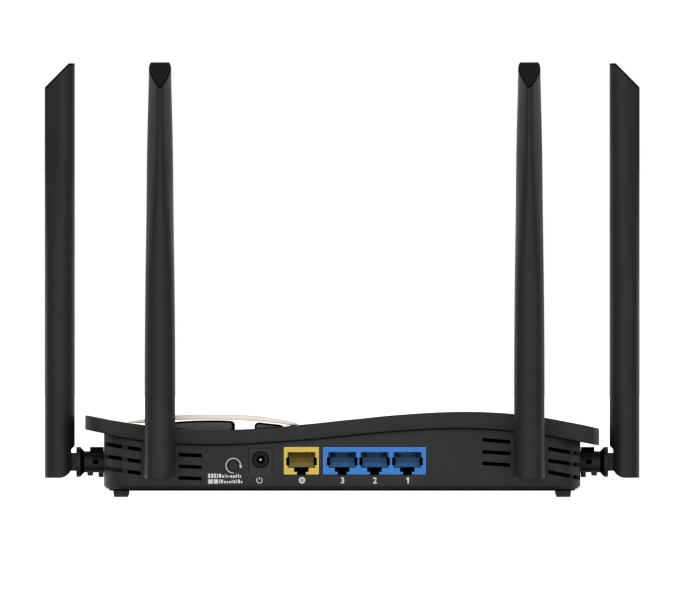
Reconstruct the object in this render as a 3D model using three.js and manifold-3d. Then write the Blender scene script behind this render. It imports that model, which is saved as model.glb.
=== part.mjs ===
// Desktop wireless router with four folding antennas. Millimetres, +Z up, z = 0 under the feet,
// ports on the -Y side, origin below the middle of the overall box.
import * as THREE from "three";
import { mergeVertices } from "three/addons/utils/BufferGeometryUtils.js";
import Module from "manifold-3d";

const wasm = await Module();
wasm.setup();

// ---------- driving dimensions ----------
const BODY_X = 102.0; // half width of the lower case
const BODY_Y0 = -61.25; // rear wall, outer face
const BODY_Y1 = 82.0; // front wall, outer face
const BODY_R = 16.0; // plan corner radius
const BODY_Z0 = 2.65; // underside
const BEVEL = 2.15; // 45 degree bevel round the underside
const WALL = 2.0;
const COVER_X = 110.35; // half width of the cover
const COVER_Y0 = -63.25;
const COVER_Y1 = 86.75;
const COVER_R = 11.5;
const SKIN = 2.4; // cover skin
const SLOPE = 0.005; // the cover falls this much per millimetre towards the front
const GAP = 0.3;

// Cover top line and case-to-cover seam line across the rear edge, as x, z.
const TOP = [
  [-110.1, 35.25], [-99.6, 33.15], [-89.3, 31.55], [-78.1, 30.15], [-70.4, 29.55], [-61.0, 29.2],
  [-50.0, 29.08], [-39.5, 29.35], [-29.0, 30.05], [-19.0, 31.05], [-5.2, 32.45], [8.5, 33.9],
  [22.2, 35.25], [35.9, 36.22], [49.6, 36.75], [56.5, 36.75], [66.8, 36.31], [76.5, 35.45],
  [88.3, 33.95], [99.5, 31.85], [110.1, 29.55],
];
const SEAM = [
  [-110.1, 29.0], [-102.1, 27.4], [-91.9, 25.4], [-81.0, 23.9], [-70.4, 23.05], [-61.0, 22.8],
  [-49.8, 22.8], [-36.1, 23.4], [-22.4, 24.35], [-8.7, 25.5], [8.5, 27.3], [25.6, 28.7],
  [39.4, 29.5], [53.1, 29.78], [66.8, 29.1], [80.0, 27.6], [91.0, 26.05], [102.1, 23.8],
  [110.1, 22.3],
];
// Champagne bridge plate over the left valley, and the dark panels below it.
const PLATE_Y0 = -60.6, PLATE_Y1 = 80.0;
const PLATE_TOP = [
  [-92.0, 32.25], [-86.7, 32.85], [-80.0, 33.85], [-75.0, 34.45], [-70.4, 34.75], [-66.0, 34.9],
  [-61.0, 34.95], [-53.0, 34.95], [-45.5, 34.95], [-41.0, 34.8], [-37.0, 34.55], [-31.0, 33.75],
  [-26.7, 33], [-22.4, 32.25], [-19.0, 31.45],
];
const PLATE_BOTTOM = [
  [-92.0, 32.1], [-86.7, 31.7], [-80.0, 32.45], [-75.0, 32.9], [-70.4, 33.15], [-66.0, 33.3],
  [-61.0, 33.35], [-53.0, 33.35], [-45.5, 33.15], [-41.0, 32.95], [-37.0, 32.7], [-31.0, 32],
  [-26.7, 31.3], [-22.4, 30.84], [-19.0, 31.19],
];
const PANEL_Y0 = -60.9, PANEL_Y1 = 76.0;
const PANEL_A = [[-72.4, 32.1], [-70.4, 32.2], [-63.5, 32.6], [-58.0, 32.7], [-53.0, 32.7], [-49.6, 32.6], [-48.0, 32.5], [-47.0, 32.1], [-46.5, 31.3]];
const PANEL_B = [[-37.6, 30.9], [-37.1, 31.5], [-36.1, 31.85], [-32.7, 31.5], [-29.2, 31.15], [-25.6, 30.76]];

// Antenna, in a frame whose x runs out of the case wall, y across, z up.
const AX_Z = 15.0; // height of every antenna's swivel axis
const ANT_BACK = 13.0; // case wall to the antenna's flat back
const ANT_DEPTH = 12.9;
const ANT_TOP = 186.4;
const ANT_BOTTOM = 8.35;
const FOLD_X = 19.3; // fold pin
const TONGUE = 5.0, TONGUE_H = 7.8;
const FORK = 5.6; // slot in the antenna for the tongue
const PIN_R = 1.4;
const PIN_HALF = 4.6; // half length of the fold pin, hidden inside the antenna
const BARREL_R = 4.6;
const SIDE_Y = -28.0; // side antennas
const REAR_XL = -78.0, REAR_XR = 80.1; // rear antennas

// Ports in the rear wall: x range and z range.
const PORT_Z0 = 9.78, PORT_Z1 = 21.6;
const WAN_X = [-25.04, -9.99];
const LAN_X = [-8.28, 35.98];
const SOCKETS = { wan: -17.5, lan_3: 0.03, lan_2: 13.88, lan_1: 27.97 };
const DC = { x0: -39.9, x1: -30.2, z0: 9.56, z1: 20.9, cx: -35.0, cz: 16.1, r: 3.45 };
const BUTTON = { x: -46.66, z: 13.5, r: 2.0 };

// ---------- helpers ----------
function solid(geometry) {
  const g = (geometry.index ? geometry.toNonIndexed() : geometry).clone();
  for (const name of Object.keys(g.attributes)) if (name !== "position") g.deleteAttribute(name);
  const m = mergeVertices(g, 1e-4);
  return new wasm.Manifold(
    new wasm.Mesh({
      numProp: 3,
      vertProperties: new Float32Array(m.attributes.position.array),
      triVerts: new Uint32Array(m.index.array),
    }),
  );
}
function geometryOf(s) {
  const m = s.getMesh();
  const v = new Float32Array(m.numVert * 3);
  for (let i = 0; i < m.numVert; i++)
    v.set(m.vertProperties.subarray(i * m.numProp, i * m.numProp + 3), i * 3);
  const g = new THREE.BufferGeometry();
  g.setAttribute("position", new THREE.BufferAttribute(v, 3));
  g.setIndex(new THREE.BufferAttribute(new Uint32Array(m.triVerts), 1));
  g.computeVertexNormals();
  return g;
}
function box(x0, x1, y0, y1, z0, z1) {
  const g = new THREE.BoxGeometry(x1 - x0, y1 - y0, z1 - z0);
  g.translate((x0 + x1) / 2, (y0 + y1) / 2, (z0 + z1) / 2);
  return solid(g);
}
// A cylinder or cone from a to b; ra at a, rb at b.
function rod(a, b, ra, rb = ra, n = 16, turn = 0) {
  const A = new THREE.Vector3(...a), B = new THREE.Vector3(...b);
  const d = B.clone().sub(A);
  const g = new THREE.CylinderGeometry(rb, ra, d.length(), n, 1);
  g.rotateY(turn);
  g.translate(0, d.length() / 2, 0);
  g.applyQuaternion(new THREE.Quaternion().setFromUnitVectors(new THREE.Vector3(0, 1, 0), d.clone().normalize()));
  g.translate(...a);
  return solid(g);
}
function extrude(shape, depth, options = {}) {
  return new THREE.ExtrudeGeometry(shape, { depth, bevelEnabled: false, curveSegments: 6, steps: 1, ...options });
}
// A shape drawn in x and z, extruded along y from y0 to y1.
function alongY(points, y0, y1) {
  const g = extrude(new THREE.Shape(points.map(([x, z]) => new THREE.Vector2(x, z))), y1 - y0);
  g.rotateX(Math.PI / 2); // x, z drawing plane; depth now runs to -y
  g.translate(0, y1, 0);
  return solid(g);
}
function prismXY(shape, z0, z1, seg = 6) {
  const g = extrude(shape, z1 - z0, { curveSegments: seg });
  g.translate(0, 0, z0);
  return solid(g);
}
function roundRect(x0, x1, y0, y1, r) {
  const s = new THREE.Shape();
  s.moveTo(x0 + r, y0);
  s.lineTo(x1 - r, y0);
  s.absarc(x1 - r, y0 + r, r, -Math.PI / 2, 0, false);
  s.lineTo(x1, y1 - r);
  s.absarc(x1 - r, y1 - r, r, 0, Math.PI / 2, false);
  s.lineTo(x0 + r, y1);
  s.absarc(x0 + r, y1 - r, r, Math.PI / 2, Math.PI, false);
  s.lineTo(x0, y0 + r);
  s.absarc(x0 + r, y0 + r, r, Math.PI, Math.PI * 1.5, false);
  return s;
}
// Heights follow the cover's slight fall towards the front.
function sheared(s) {
  const g = geometryOf(s);
  const p = g.getAttribute("position");
  for (let i = 0; i < p.count; i++) p.setZ(i, p.getZ(i) - SLOPE * (p.getY(i) - COVER_Y0));
  return solid(g);
}
function at(curve, x) {
  for (let i = 1; i < curve.length; i++)
    if (x <= curve[i][0]) {
      const [xa, za] = curve[i - 1], [xb, zb] = curve[i];
      return za + ((zb - za) * (x - xa)) / (xb - xa);
    }
  return curve[curve.length - 1][1];
}
const shifted = (curve, dz) => curve.map(([x, z]) => [x, z + dz]);
const union = (list) => list.reduce((a, b) => a.add(b));

const root = new THREE.Group();
root.name = "wireless_router";
const paint = (color, roughness, metalness = 0) => new THREE.MeshStandardMaterial({ color, roughness, metalness });
const LOOK = {
  case: paint(0x1d1e20, 0.55),
  cover: paint(0x232427, 0.42),
  plate: paint(0xe6dccf, 0.3, 0.55),
  panel: paint(0x3a3d42, 0.25),
  antenna: paint(0x18191b, 0.48),
  knuckle: paint(0x202124, 0.5),
  yellow: paint(0xc9a52b, 0.45),
  blue: paint(0x2f6fd0, 0.4),
  jack: paint(0x101112, 0.5),
  gold: paint(0xd4af5a, 0.3, 1),
  steel: paint(0xb9bcc0, 0.3, 1),
  tin: paint(0xc8cac8, 0.35, 1),
  pcb: paint(0x1f5a36, 0.5),
  chip: paint(0x121314, 0.6),
  heatsink: paint(0xaeb1b5, 0.35, 1),
  rubber: paint(0x161617, 0.85),
  copper: paint(0xb87333, 0.35, 1),
  lead: paint(0x2b2c2f, 0.6),
  light: paint(0xe8edf0, 0.2),
  label: paint(0xdedede, 0.7),
};
function add(name, s, look, parent = root) {
  const mesh = new THREE.Mesh(s.isBufferGeometry ? s : geometryOf(s), LOOK[look]);
  mesh.name = name;
  parent.add(mesh);
  return mesh;
}

// ---------- lower case ----------
function bandBelow(curve, dz, y0, y1) {
  const pts = shifted(curve, dz);
  return sheared(alongY([[-140, -5], [140, -5], [140, pts[pts.length - 1][1]], ...[...pts].reverse(), [-140, pts[0][1]]], y0, y1));
}
const outerPlan = roundRect(-BODY_X, BODY_X, BODY_Y0, BODY_Y1, BODY_R);
const innerPlan = roundRect(-BODY_X + WALL, BODY_X - WALL, BODY_Y0 + WALL, BODY_Y1 - WALL, BODY_R - WALL);
let tub;
{
  // the bevel is an extrusion bevel at the underside; the top one is cut away by the seam
  const inset = roundRect(-BODY_X + BEVEL, BODY_X - BEVEL, BODY_Y0 + BEVEL, BODY_Y1 - BEVEL, BODY_R - BEVEL);
  const g = new THREE.ExtrudeGeometry(inset, {
    depth: 40, steps: 1, curveSegments: 5, bevelEnabled: true, bevelSegments: 1, bevelSize: BEVEL, bevelThickness: BEVEL, bevelOffset: 0,
  });
  g.translate(0, 0, BODY_Z0 + BEVEL);
  tub = solid(g);
}
tub = tub.intersect(bandBelow(SEAM, -GAP, -90, 110));
tub = tub.subtract(prismXY(innerPlan, BODY_Z0 + 2.0, 60, 5));

// screw bosses, board bosses
const SCREWS = [[-84, -34], [84, -34], [-84, 56], [84, 56]];
for (const [x, y] of SCREWS) tub = tub.add(rod([x, y, BODY_Z0 + 1.5], [x, y, 8.6], 4.0, 4.0, 12));
const BOARD = { x0: -58, x1: 58, y0: -58.4, y1: 36, z0: 7.8, z1: 9.4 };
const BOARD_POSTS = [[-54, -30], [54, -30], [-54, 31], [54, 31]];
for (const [x, y] of BOARD_POSTS) tub = tub.add(rod([x, y, BODY_Z0 + 1.5], [x, y, BOARD.z0 - GAP], 2.6, 2.6, 10));
// screw holes with counterbores
for (const [x, y] of SCREWS)
  tub = tub.subtract(rod([x, y, 0], [x, y, 12], 1.9, 1.9, 8)).subtract(rod([x, y, 0], [x, y, 5.6], 3.1, 3.1, 12));

// feet recesses
const FEET = { fl: [-94.8, 60], fr: [94.8, 60], rl: [-94.8, -41], rr: [94.8, -41] };
const footShape = (r, half) => {
  const s = new THREE.Shape();
  s.moveTo(-r, -half);
  s.absarc(0, -half, r, Math.PI, 0, false);
  s.lineTo(r, half);
  s.absarc(0, half, r, 0, Math.PI, false);
  return s;
};
for (const [x, y] of Object.values(FEET)) {
  const g = extrude(footShape(3.3 + GAP, 3.2), 3, { curveSegments: 6 });
  g.translate(x, y, BODY_Z0 + 0.7 - 3);
  tub = tub.subtract(solid(g));
}
// rating label recess
tub = tub.subtract(box(-32, 32, -8, 34, 0, BODY_Z0 + 0.5));
// underside air slots
for (let i = 0; i < 4; i++) {
  tub = tub.subtract(box(-60 + i * 7, -57 + i * 7, -6, 22, 0, 7));
  tub = tub.subtract(box(57 - i * 7, 60 - i * 7, -6, 22, 0, 7));
}

// ports, button and light cut-outs
const cut = 0.25;
tub = tub
  .subtract(box(WAN_X[0] - cut, WAN_X[1] + cut, BODY_Y0 - 2, BODY_Y0 + 3, PORT_Z0 - cut, PORT_Z1 + cut))
  .subtract(box(LAN_X[0] - cut, LAN_X[1] + cut, BODY_Y0 - 2, BODY_Y0 + 3, PORT_Z0 - cut, PORT_Z1 + cut))
  .subtract(box(DC.x0 - cut, DC.x1 + cut, BODY_Y0 - 2, BODY_Y0 + 3, DC.z0 - cut, DC.z1 + cut))
  .subtract(rod([BUTTON.x, BODY_Y0 - 2, BUTTON.z], [BUTTON.x, BODY_Y0 + 4, BUTTON.z], BUTTON.r + 0.3, BUTTON.r + 0.3, 14));
const LIGHT = { x: 0, z: 12.4, w: 14, h: 1.6 };
tub = tub.subtract(box(-LIGHT.w / 2 - cut, LIGHT.w / 2 + cut, BODY_Y1 - 4, BODY_Y1 + 2, LIGHT.z - LIGHT.h / 2 - cut, LIGHT.z + LIGHT.h / 2 + cut));

// air slots: x range, z at each end (slot centre), following the seam's slope
const SLOT_H = 1.6;
function slot(xa, xb, za, zb, y0, y1) {
  return alongY([[xa, za - SLOT_H / 2], [xb, zb - SLOT_H / 2], [xb, zb + SLOT_H / 2], [xa, za + SLOT_H / 2]], y0, y1);
}
const REAR_SLOTS = [
  [-70.2, -60.2, 18.3, 17.85], [-70.2, -60.2, 13.3, 12.85], [-70.2, -60.2, 8.35, 7.95],
  [60.1, 72.2, 24.7, 23.7], [60.1, 72.2, 19.5, 18.75], [60.1, 72.2, 14.6, 13.75],
];
for (const [xa, xb, za, zb] of REAR_SLOTS) tub = tub.subtract(slot(xa, xb, za, zb, BODY_Y0 - 1, BODY_Y0 + 3));
const CORNER_SLOTS = [
  [-104, -86.2, 23.2, 20.4], [-104, -86.2, 17.95, 15.25], [-104, -86.2, 12.9, 10.2],
  [88.3, 104, 20.9, 18.1], [88.3, 104, 15.8, 13.35], [88.3, 104, 10.9, 7.8],
];
for (const [xa, xb, za, zb] of CORNER_SLOTS) tub = tub.subtract(slot(xa, xb, za, zb, BODY_Y0 - 1, -40));

// holes for the antenna barrels
const HOLE_R = BARREL_R + 0.25;
tub = tub
  .subtract(rod([-BODY_X - 2, SIDE_Y, AX_Z], [-BODY_X + 4, SIDE_Y, AX_Z], HOLE_R, HOLE_R, 16))
  .subtract(rod([BODY_X - 4, SIDE_Y, AX_Z], [BODY_X + 2, SIDE_Y, AX_Z], HOLE_R, HOLE_R, 16))
  .subtract(rod([REAR_XL, BODY_Y0 - 2, AX_Z], [REAR_XL, BODY_Y0 + 4, AX_Z], HOLE_R, HOLE_R, 16))
  .subtract(rod([REAR_XR, BODY_Y0 - 2, AX_Z], [REAR_XR, BODY_Y0 + 4, AX_Z], HOLE_R, HOLE_R, 16));
add("lower_case", tub, "case");

// ---------- top cover ----------
let cover = prismXY(roundRect(-COVER_X, COVER_X, COVER_Y0, COVER_Y1, COVER_R), 10, 60, 4);
const upTo = (curve, dz) => bandBelow(curve, dz, -100, 120);
cover = cover.intersect(upTo(TOP, 0)).subtract(upTo(SEAM, 0));
// hollow underside, leaving the rim over the walls
const pocketPlan = prismXY(roundRect(-BODY_X + WALL + 0.6, BODY_X - WALL - 0.6, BODY_Y0 + WALL + 0.6, BODY_Y1 - WALL - 0.6, BODY_R - WALL - 0.6), 5, 60, 3);
cover = cover.subtract(pocketPlan.intersect(upTo(TOP, -SKIN)));
// screw posts hanging from the skin
for (const [x, y] of SCREWS) {
  const zt = at(TOP, x) - SLOPE * (y - COVER_Y0) - 1.0;
  cover = cover.add(rod([x, y, 8.9], [x, y, zt], 3.4, 3.6, 14)).subtract(rod([x, y, 5], [x, y, 18.5], 1.45, 1.45, 10));
}
// sockets for the bridge plate's pegs, and the openings under the panels that let the case breathe
const PEGS = [[-78.2, -40], [-78.2, 8], [-78.2, 60], [-21.4, -40], [-21.4, 8], [-21.4, 60]];
for (const [x, y] of PEGS) cover = cover.subtract(rod([x, y, 22], [x, y, 40], 1.5, 1.5, 10));
cover = cover.subtract(box(-69, -50, -48, 64, 20, 40)).subtract(box(-35.5, -28, -48, 64, 20, 40));
add("top_cover", cover, "cover");

// ---------- dark vent panels under the bridge plate ----------
function panel(top, y0, y1) {
  const xa = top[0][0], xb = top[top.length - 1][0];
  const under = [[xa, at(TOP, xa) + 0.2]];
  for (const [x, z] of TOP) if (x > xa && x < xb) under.push([x, z + 0.2]);
  under.push([xb, at(TOP, xb) + 0.2]);
  return sheared(alongY([...under, ...[...top].reverse()], y0, y1));
}
let panelA = panel(PANEL_A, PANEL_Y0, PANEL_Y1), panelB = panel(PANEL_B, PANEL_Y0, PANEL_Y1);
for (let i = 0; i < 8; i++) {
  const y = -44 + i * 13;
  panelA = panelA.subtract(box(-67, -52, y, y + 4.5, 20, 40));
  panelB = panelB.subtract(box(-34.4, -29.2, y, y + 4.5, 20, 40));
}
add("vent_panel_left", panelA, "panel");
add("vent_panel_right", panelB, "panel");

// ---------- champagne bridge plate ----------
{
  let plate = sheared(alongY([...PLATE_BOTTOM, ...[...PLATE_TOP].reverse()], PLATE_Y0, PLATE_Y1));
  plate = plate.intersect(prismXY(roundRect(-92.5, -18.5, PLATE_Y0, PLATE_Y1, 5), 10, 60, 5));
  for (const [x, y] of PEGS) {
    const drop = SLOPE * (y - COVER_Y0);
    plate = plate.add(rod([x, y, at(TOP, x) - drop - 3.2], [x, y, at(PLATE_BOTTOM, x) - drop + 0.6], 1.15, 1.15, 10));
  }
  add("bridge_plate", plate, "plate");
}

// ---------- feet, screws, label ----------
const FOOT_NAMES = { fl: "foot_front_left", fr: "foot_front_right", rl: "foot_rear_left", rr: "foot_rear_right" };
for (const [key, [x, y]] of Object.entries(FEET)) {
  // tapered pad: wide end up in its recess
  const g = extrude(footShape(3.3, 3.2), BODY_Z0 + 0.4, { curveSegments: 6 });
  const p = g.getAttribute("position");
  for (let i = 0; i < p.count; i++) if (p.getZ(i) < 0.01) { p.setX(i, p.getX(i) * 0.93); p.setY(i, p.getY(i) * 0.96); }
  g.translate(x, y, 0);
  add(FOOT_NAMES[key], solid(g), "rubber");
}
SCREWS.forEach(([x, y], i) => {
  let s = rod([x, y, 3.4], [x, y, 5.3], 2.7, 2.7, 14).add(rod([x, y, 5.0], [x, y, 17.5], 1.2, 1.2, 8));
  s = s.subtract(box(x - 1.6, x + 1.6, y - 0.3, y + 0.3, 3, 4.2)).subtract(box(x - 0.3, x + 0.3, y - 1.6, y + 1.6, 3, 4.2));
  add("case_screw_" + (i + 1), s, "steel");
});
add("blank_label", box(-31.6, 31.6, -7.6, 33.6, BODY_Z0 - 0.05, BODY_Z0 + 0.2), "label");

// ---------- circuit board and what it carries ----------
{
  const { x0, x1, y0, y1, z0, z1 } = BOARD;
  let b = prismXY(roundRect(x0, x1, y0, y1, 2), z0, z1, 3);
  for (const [x, y] of BOARD_POSTS) b = b.subtract(rod([x, y, 5], [x, y, 12], 1.5, 1.5, 10));
  add("main_board", b, "pcb");
}
const DECK = BOARD.z1 + GAP; // parts stand on the board with a film of clearance
{
  let h = box(-22, 22, -18, 20, DECK + 1.6, DECK + 3.6);
  for (let i = 0; i < 9; i++) h = h.add(box(-22, 22, -18 + i * 4.6, -18 + i * 4.6 + 1.2, DECK + 3, DECK + 11));
  add("heatsink", h, "heatsink");
  add("processor", box(-9, 9, -9, 9, DECK, DECK + 1.3), "chip");
}
function can(name, x0, x1, y0, y1, h) {
  let s = box(x0, x1, y0, y1, DECK, DECK + h).subtract(box(x0 + 0.5, x1 - 0.5, y0 + 0.5, y1 - 0.5, DECK - 1, DECK + h - 0.5));
  for (let i = 0; i < 3; i++) s = s.subtract(rod([x0 + ((i + 1) * (x1 - x0)) / 4, (y0 + y1) / 2, DECK], [x0 + ((i + 1) * (x1 - x0)) / 4, (y0 + y1) / 2, DECK + h + 2], 1, 1, 8));
  add(name, s, "tin");
}
can("shield_can_left", -50, -26, -14, 12, 3.2);
can("shield_can_right", 26, 50, -14, 12, 3.2);
add("wan_transformer", box(-24, -11, -42, -33, DECK, DECK + 6), "chip");
add("lan_transformer", box(-4, 32, -42, -33, DECK, DECK + 6), "chip");
add("status_led", box(-2, 2, 32.4, 35.6, DECK, DECK + 4.2), "light");
add("light_pipe", box(-LIGHT.w / 2, LIGHT.w / 2, 70, BODY_Y1, LIGHT.z - LIGHT.h / 2, LIGHT.z + LIGHT.h / 2)
  .add(alongYTaper()), "light");
function alongYTaper() {
  // flat guide narrowing back to the light source
  const s = new THREE.Shape([new THREE.Vector2(-2, 36.2), new THREE.Vector2(2, 36.2), new THREE.Vector2(LIGHT.w / 2, 71), new THREE.Vector2(-LIGHT.w / 2, 71)]);
  return prismXY(s, LIGHT.z - LIGHT.h / 2, LIGHT.z + LIGHT.h / 2, 2);
}

// ---------- rear sockets ----------
const JACK_Y1 = BODY_Y0 + 16.5;
function socketCut(cx) {
  const y0 = BODY_Y0 - 1, y1 = BODY_Y0 + 13.2;
  return union([
    box(cx - 5.93, cx + 5.93, y0, y1, 12.56, 19.42),
    box(cx - 6.5, cx + 6.5, y0, BODY_Y0 + 8, 13.65, 17.1),
    box(cx - 3.35, cx + 3.05, y0, y1, 10.85, 12.7),
    box(cx - 2.0, cx + 1.95, y0, y1, 9.95, 11.0),
  ]);
}
{
  let w = box(WAN_X[0], WAN_X[1], BODY_Y0, JACK_Y1, PORT_Z0, PORT_Z1).subtract(socketCut(SOCKETS.wan));
  add("wan_socket", w, "yellow");
  let l = box(LAN_X[0], LAN_X[1], BODY_Y0, JACK_Y1, PORT_Z0, PORT_Z1);
  for (const k of ["lan_1", "lan_2", "lan_3"]) l = l.subtract(socketCut(SOCKETS[k]));
  add("lan_socket_block", l, "blue");
}
for (const [k, cx] of Object.entries(SOCKETS)) {
  const y0 = BODY_Y0;
  let c = box(cx - 4.6, cx + 4.6, y0 + 11.8, y0 + 12.8, 18.1, 19.1);
  for (let i = 0; i < 8; i++) {
    const x = cx + (i - 3.5) * 1.02;
    c = c.add(box(x - 0.22, x + 0.22, y0 + 2.6, y0 + 12.2, 18.3, 18.75));
  }
  add(k + "_contacts", c, "gold");
}
{
  const { x0, x1, z0, z1, cx, cz, r } = DC;
  let d = box(x0, x1, BODY_Y0, BODY_Y0 + 13.5, z0, z1)
    .subtract(rod([cx, BODY_Y0 - 1, cz], [cx, BODY_Y0 + 11, cz], r - 0.25, r - 0.25, 20))
    .subtract(rod([cx, BODY_Y0 - 0.6, cz], [cx, BODY_Y0 + 0.7, cz], r + 0.45, r - 0.45, 20));
  add("power_inlet", d, "jack");
  add("power_inlet_pin", rod([cx, BODY_Y0 + 1.6, cz], [cx, BODY_Y0 + 10.6, cz], 1.05, 1.05, 12), "steel");
}
// ---------- reset button and its switch ----------
{
  const { x, z, r } = BUTTON, y = BODY_Y0;
  add("reset_button", union([
    rod([x, y + 0.1, z], [x, y + 3.2, z], r, r, 18),
    rod([x, y + WALL + 0.25, z], [x, y + WALL + 1.25, z], r + 1.0, r + 1.0, 18),
    rod([x, y + 3.0, z], [x, y + 4.4, z], 1.0, 1.0, 10),
  ]), "knuckle");
  add("reset_switch", union([
    box(x - 3, x + 3, y + 6.2, y + 10.2, DECK, DECK + 6.4),
    rod([x, y + 5.3, z], [x, y + 6.6, z], 1.3, 1.3, 10),
  ]), "chip");
}

// ---------- antennas ----------
// half width of the antenna's section against depth from its flat back, at full width
const SECTION = [
  [0.0, 0.42], [0.35, 0.52], [1.3, 0.7], [2.6, 0.87], [4.0, 0.965], [5.3, 1.0], [6.7, 0.975],
  [8.2, 0.88], [9.6, 0.755], [10.8, 0.6], [11.8, 0.41], [12.5, 0.24], [12.9, 0.08],
];
// full width against height above the lower end
const TAPER = [
  [0, 13.15], [33, 13.15], [54.6, 13.05], [76, 12.75], [97.5, 12.35], [118.9, 11.75], [140.3, 11.2],
  [153.2, 10.65], [161.8, 10.2], [170.4, 9.8], [179, 9.55],
];
function sweep(section, zs, width, x0) {
  // section: list of depth, half-width fraction; one closed ring per height
  const ring = [];
  for (const [d, h] of section) ring.push([d, h]);
  for (const [d, h] of [...section].reverse()) ring.push([d, -h]);
  const g = extrude(new THREE.Shape(ring.map(([d, h]) => new THREE.Vector2(d, h))), 1, { steps: zs.length - 1 });
  const p = g.getAttribute("position");
  for (let i = 0; i < p.count; i++) {
    const k = Math.round(p.getZ(i) * (zs.length - 1)), z = zs[k];
    p.setXYZ(i, x0 + p.getX(i), (p.getY(i) * width(z)) / 2, z);
  }
  return solid(g);
}
function antennaSleeve() {
  const wide = (z) => at(TAPER, z - ANT_BOTTOM);
  let s = sweep(SECTION, [ANT_BOTTOM, 41.4, 84.4, 127.3, 161.6, ANT_TOP], wide, ANT_BACK);
  // side outline: recess and rounded heel at the lower back, 45 degree cut at the top
  const bx = ANT_BACK, nose = ANT_BACK + ANT_DEPTH, heel = [19.4, ANT_BOTTOM + 5.3], r = 5.3;
  const o = new THREE.Shape();
  o.moveTo(heel[0], ANT_BOTTOM - 0.01);
  o.lineTo(nose - 0.8, ANT_BOTTOM - 0.01);
  o.lineTo(nose + 0.5, ANT_BOTTOM + 1.3);
  o.lineTo(nose + 0.5, ANT_TOP - ANT_DEPTH + 2.54 - 0.5);
  o.lineTo(bx + 2.54, ANT_TOP + 0.001);
  o.lineTo(bx - 0.5, ANT_TOP + 0.001);
  o.lineTo(bx - 0.5, 22.4);
  o.lineTo(bx, 21.9);
  o.lineTo(bx + 1.5, 20.4);
  o.lineTo(heel[0] - r, heel[1]);
  o.absarc(heel[0], heel[1], r, Math.PI, Math.PI * 1.5, false);
  const g = extrude(o, 20, { curveSegments: 5 });
  g.rotateX(Math.PI / 2);
  g.translate(0, 10, 0);
  s = s.intersect(solid(g));
  // cavity for the radiator, open below into the fork
  const inner = [[0, 0.6], [3.0, 1.0], [6.2, 0.84], [9.2, 0.42]];
  s = s.subtract(sweep(inner, [24.2, 84, 170], (z) => wide(z) - 3.4, ANT_BACK + 1.4));
  s = s.subtract(rod([bx + 4.6, 0, 17], [bx + 4.6, 0, 26], 1.5, 1.5, 8));
  // fork for the tongue, open at the back and below
  const f = new THREE.Shape();
  const fr = TONGUE_H / 2 + 0.45;
  f.moveTo(bx - 3, ANT_BOTTOM - 3);
  f.lineTo(FOLD_X + fr, ANT_BOTTOM - 3);
  f.lineTo(FOLD_X + fr, AX_Z);
  f.absarc(FOLD_X, AX_Z, fr, 0, Math.PI / 2, false);
  f.lineTo(bx - 3, AX_Z + fr);
  const fg = extrude(f, FORK, { curveSegments: 4 });
  fg.rotateX(Math.PI / 2);
  fg.translate(0, FORK / 2, 0);
  s = s.subtract(solid(fg));
  // blind pin seats in both cheeks
  s = s.subtract(rod([FOLD_X, -PIN_HALF - 0.25, AX_Z], [FOLD_X, PIN_HALF + 0.25, AX_Z], PIN_R + 0.12, PIN_R + 0.12, 12));
  return s;
}
function knuckle() {
  const c = (x) => [x, 0, AX_Z];
  // flat tongue with a round end
  const t = new THREE.Shape();
  const h = TONGUE_H / 2;
  t.moveTo(11.5, AX_Z - h);
  t.lineTo(FOLD_X, AX_Z - h);
  t.absarc(FOLD_X, AX_Z, h, -Math.PI / 2, Math.PI / 2, false);
  t.lineTo(11.5, AX_Z + h);
  const tg = extrude(t, TONGUE, { curveSegments: 7 });
  tg.rotateX(Math.PI / 2);
  tg.translate(0, TONGUE / 2, 0);
  let k = union([
    solid(tg),
    rod(c(10.3), c(12.1), 6.4, 6.4, 14),
    rod(c(8.8), c(10.3), BARREL_R, 6.4, 14),
    rod(c(-3.0), c(8.8), BARREL_R, BARREL_R, 14),
    rod(c(-4.5), c(-3.0), 3.7, 3.7, 14),
    rod(c(-5.6), c(-4.5), BARREL_R, BARREL_R, 14),
    // staggered ribs round the barrel: a deep pad above, two lugs below
    rod(c(0.6), c(6.0), 6.4, 6.4, 14).intersect(box(0, 7, -5.2, 5.2, AX_Z + 1.2, AX_Z + 8)),
    rod(c(4.9), c(7.4), 5.8, 5.8, 14).intersect(box(4, 8, -4.2, 4.2, AX_Z - 8, AX_Z - 2.5)),
    rod(c(0.6), c(2.6), 6.4, 6.4, 14).intersect(box(0, 4, -5.0, 5.0, AX_Z - 8, AX_Z - 2)),
  ]);
  // side windows of the strain relief, pin hole, and the lead's bore
  k = k.subtract(box(2.6, 5.2, 3.6, 8, AX_Z - 0.9, AX_Z + 0.9)).subtract(box(2.6, 5.2, -8, -3.6, AX_Z - 0.9, AX_Z + 0.9));
  k = k.subtract(rod([FOLD_X, -6, AX_Z], [FOLD_X, 6, AX_Z], PIN_R + 0.12, PIN_R + 0.12, 12));
  k = k.subtract(rod(c(-7), c(14.0), 1.3, 1.3, 6)).subtract(box(12.7, 14.5, -1.1, 1.1, AX_Z, AX_Z + 8));
  return k;
}
function clip() {
  return rod([-4.2, 0, AX_Z], [-3.4, 0, AX_Z], 6.4, 6.4, 14)
    .subtract(rod([-5, 0, AX_Z], [-2, 0, AX_Z], 4.05, 4.05, 14))
    .subtract(box(-6, 0, -2.6, 2.6, AX_Z - 8, AX_Z));
}
function radiator() {
  // printed strip with its sleeve, inside the antenna
  return box(ANT_BACK + 4.0, ANT_BACK + 4.8, -2.1, 2.1, 27, 150).add(rod([ANT_BACK + 4.4, 0, 60], [ANT_BACK + 4.4, 0, 92], 1.6, 1.6, 8));
}
const sleeveG = geometryOf(antennaSleeve()), knuckleG = geometryOf(knuckle()), clipG = geometryOf(clip()), radG = geometryOf(radiator());
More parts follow.
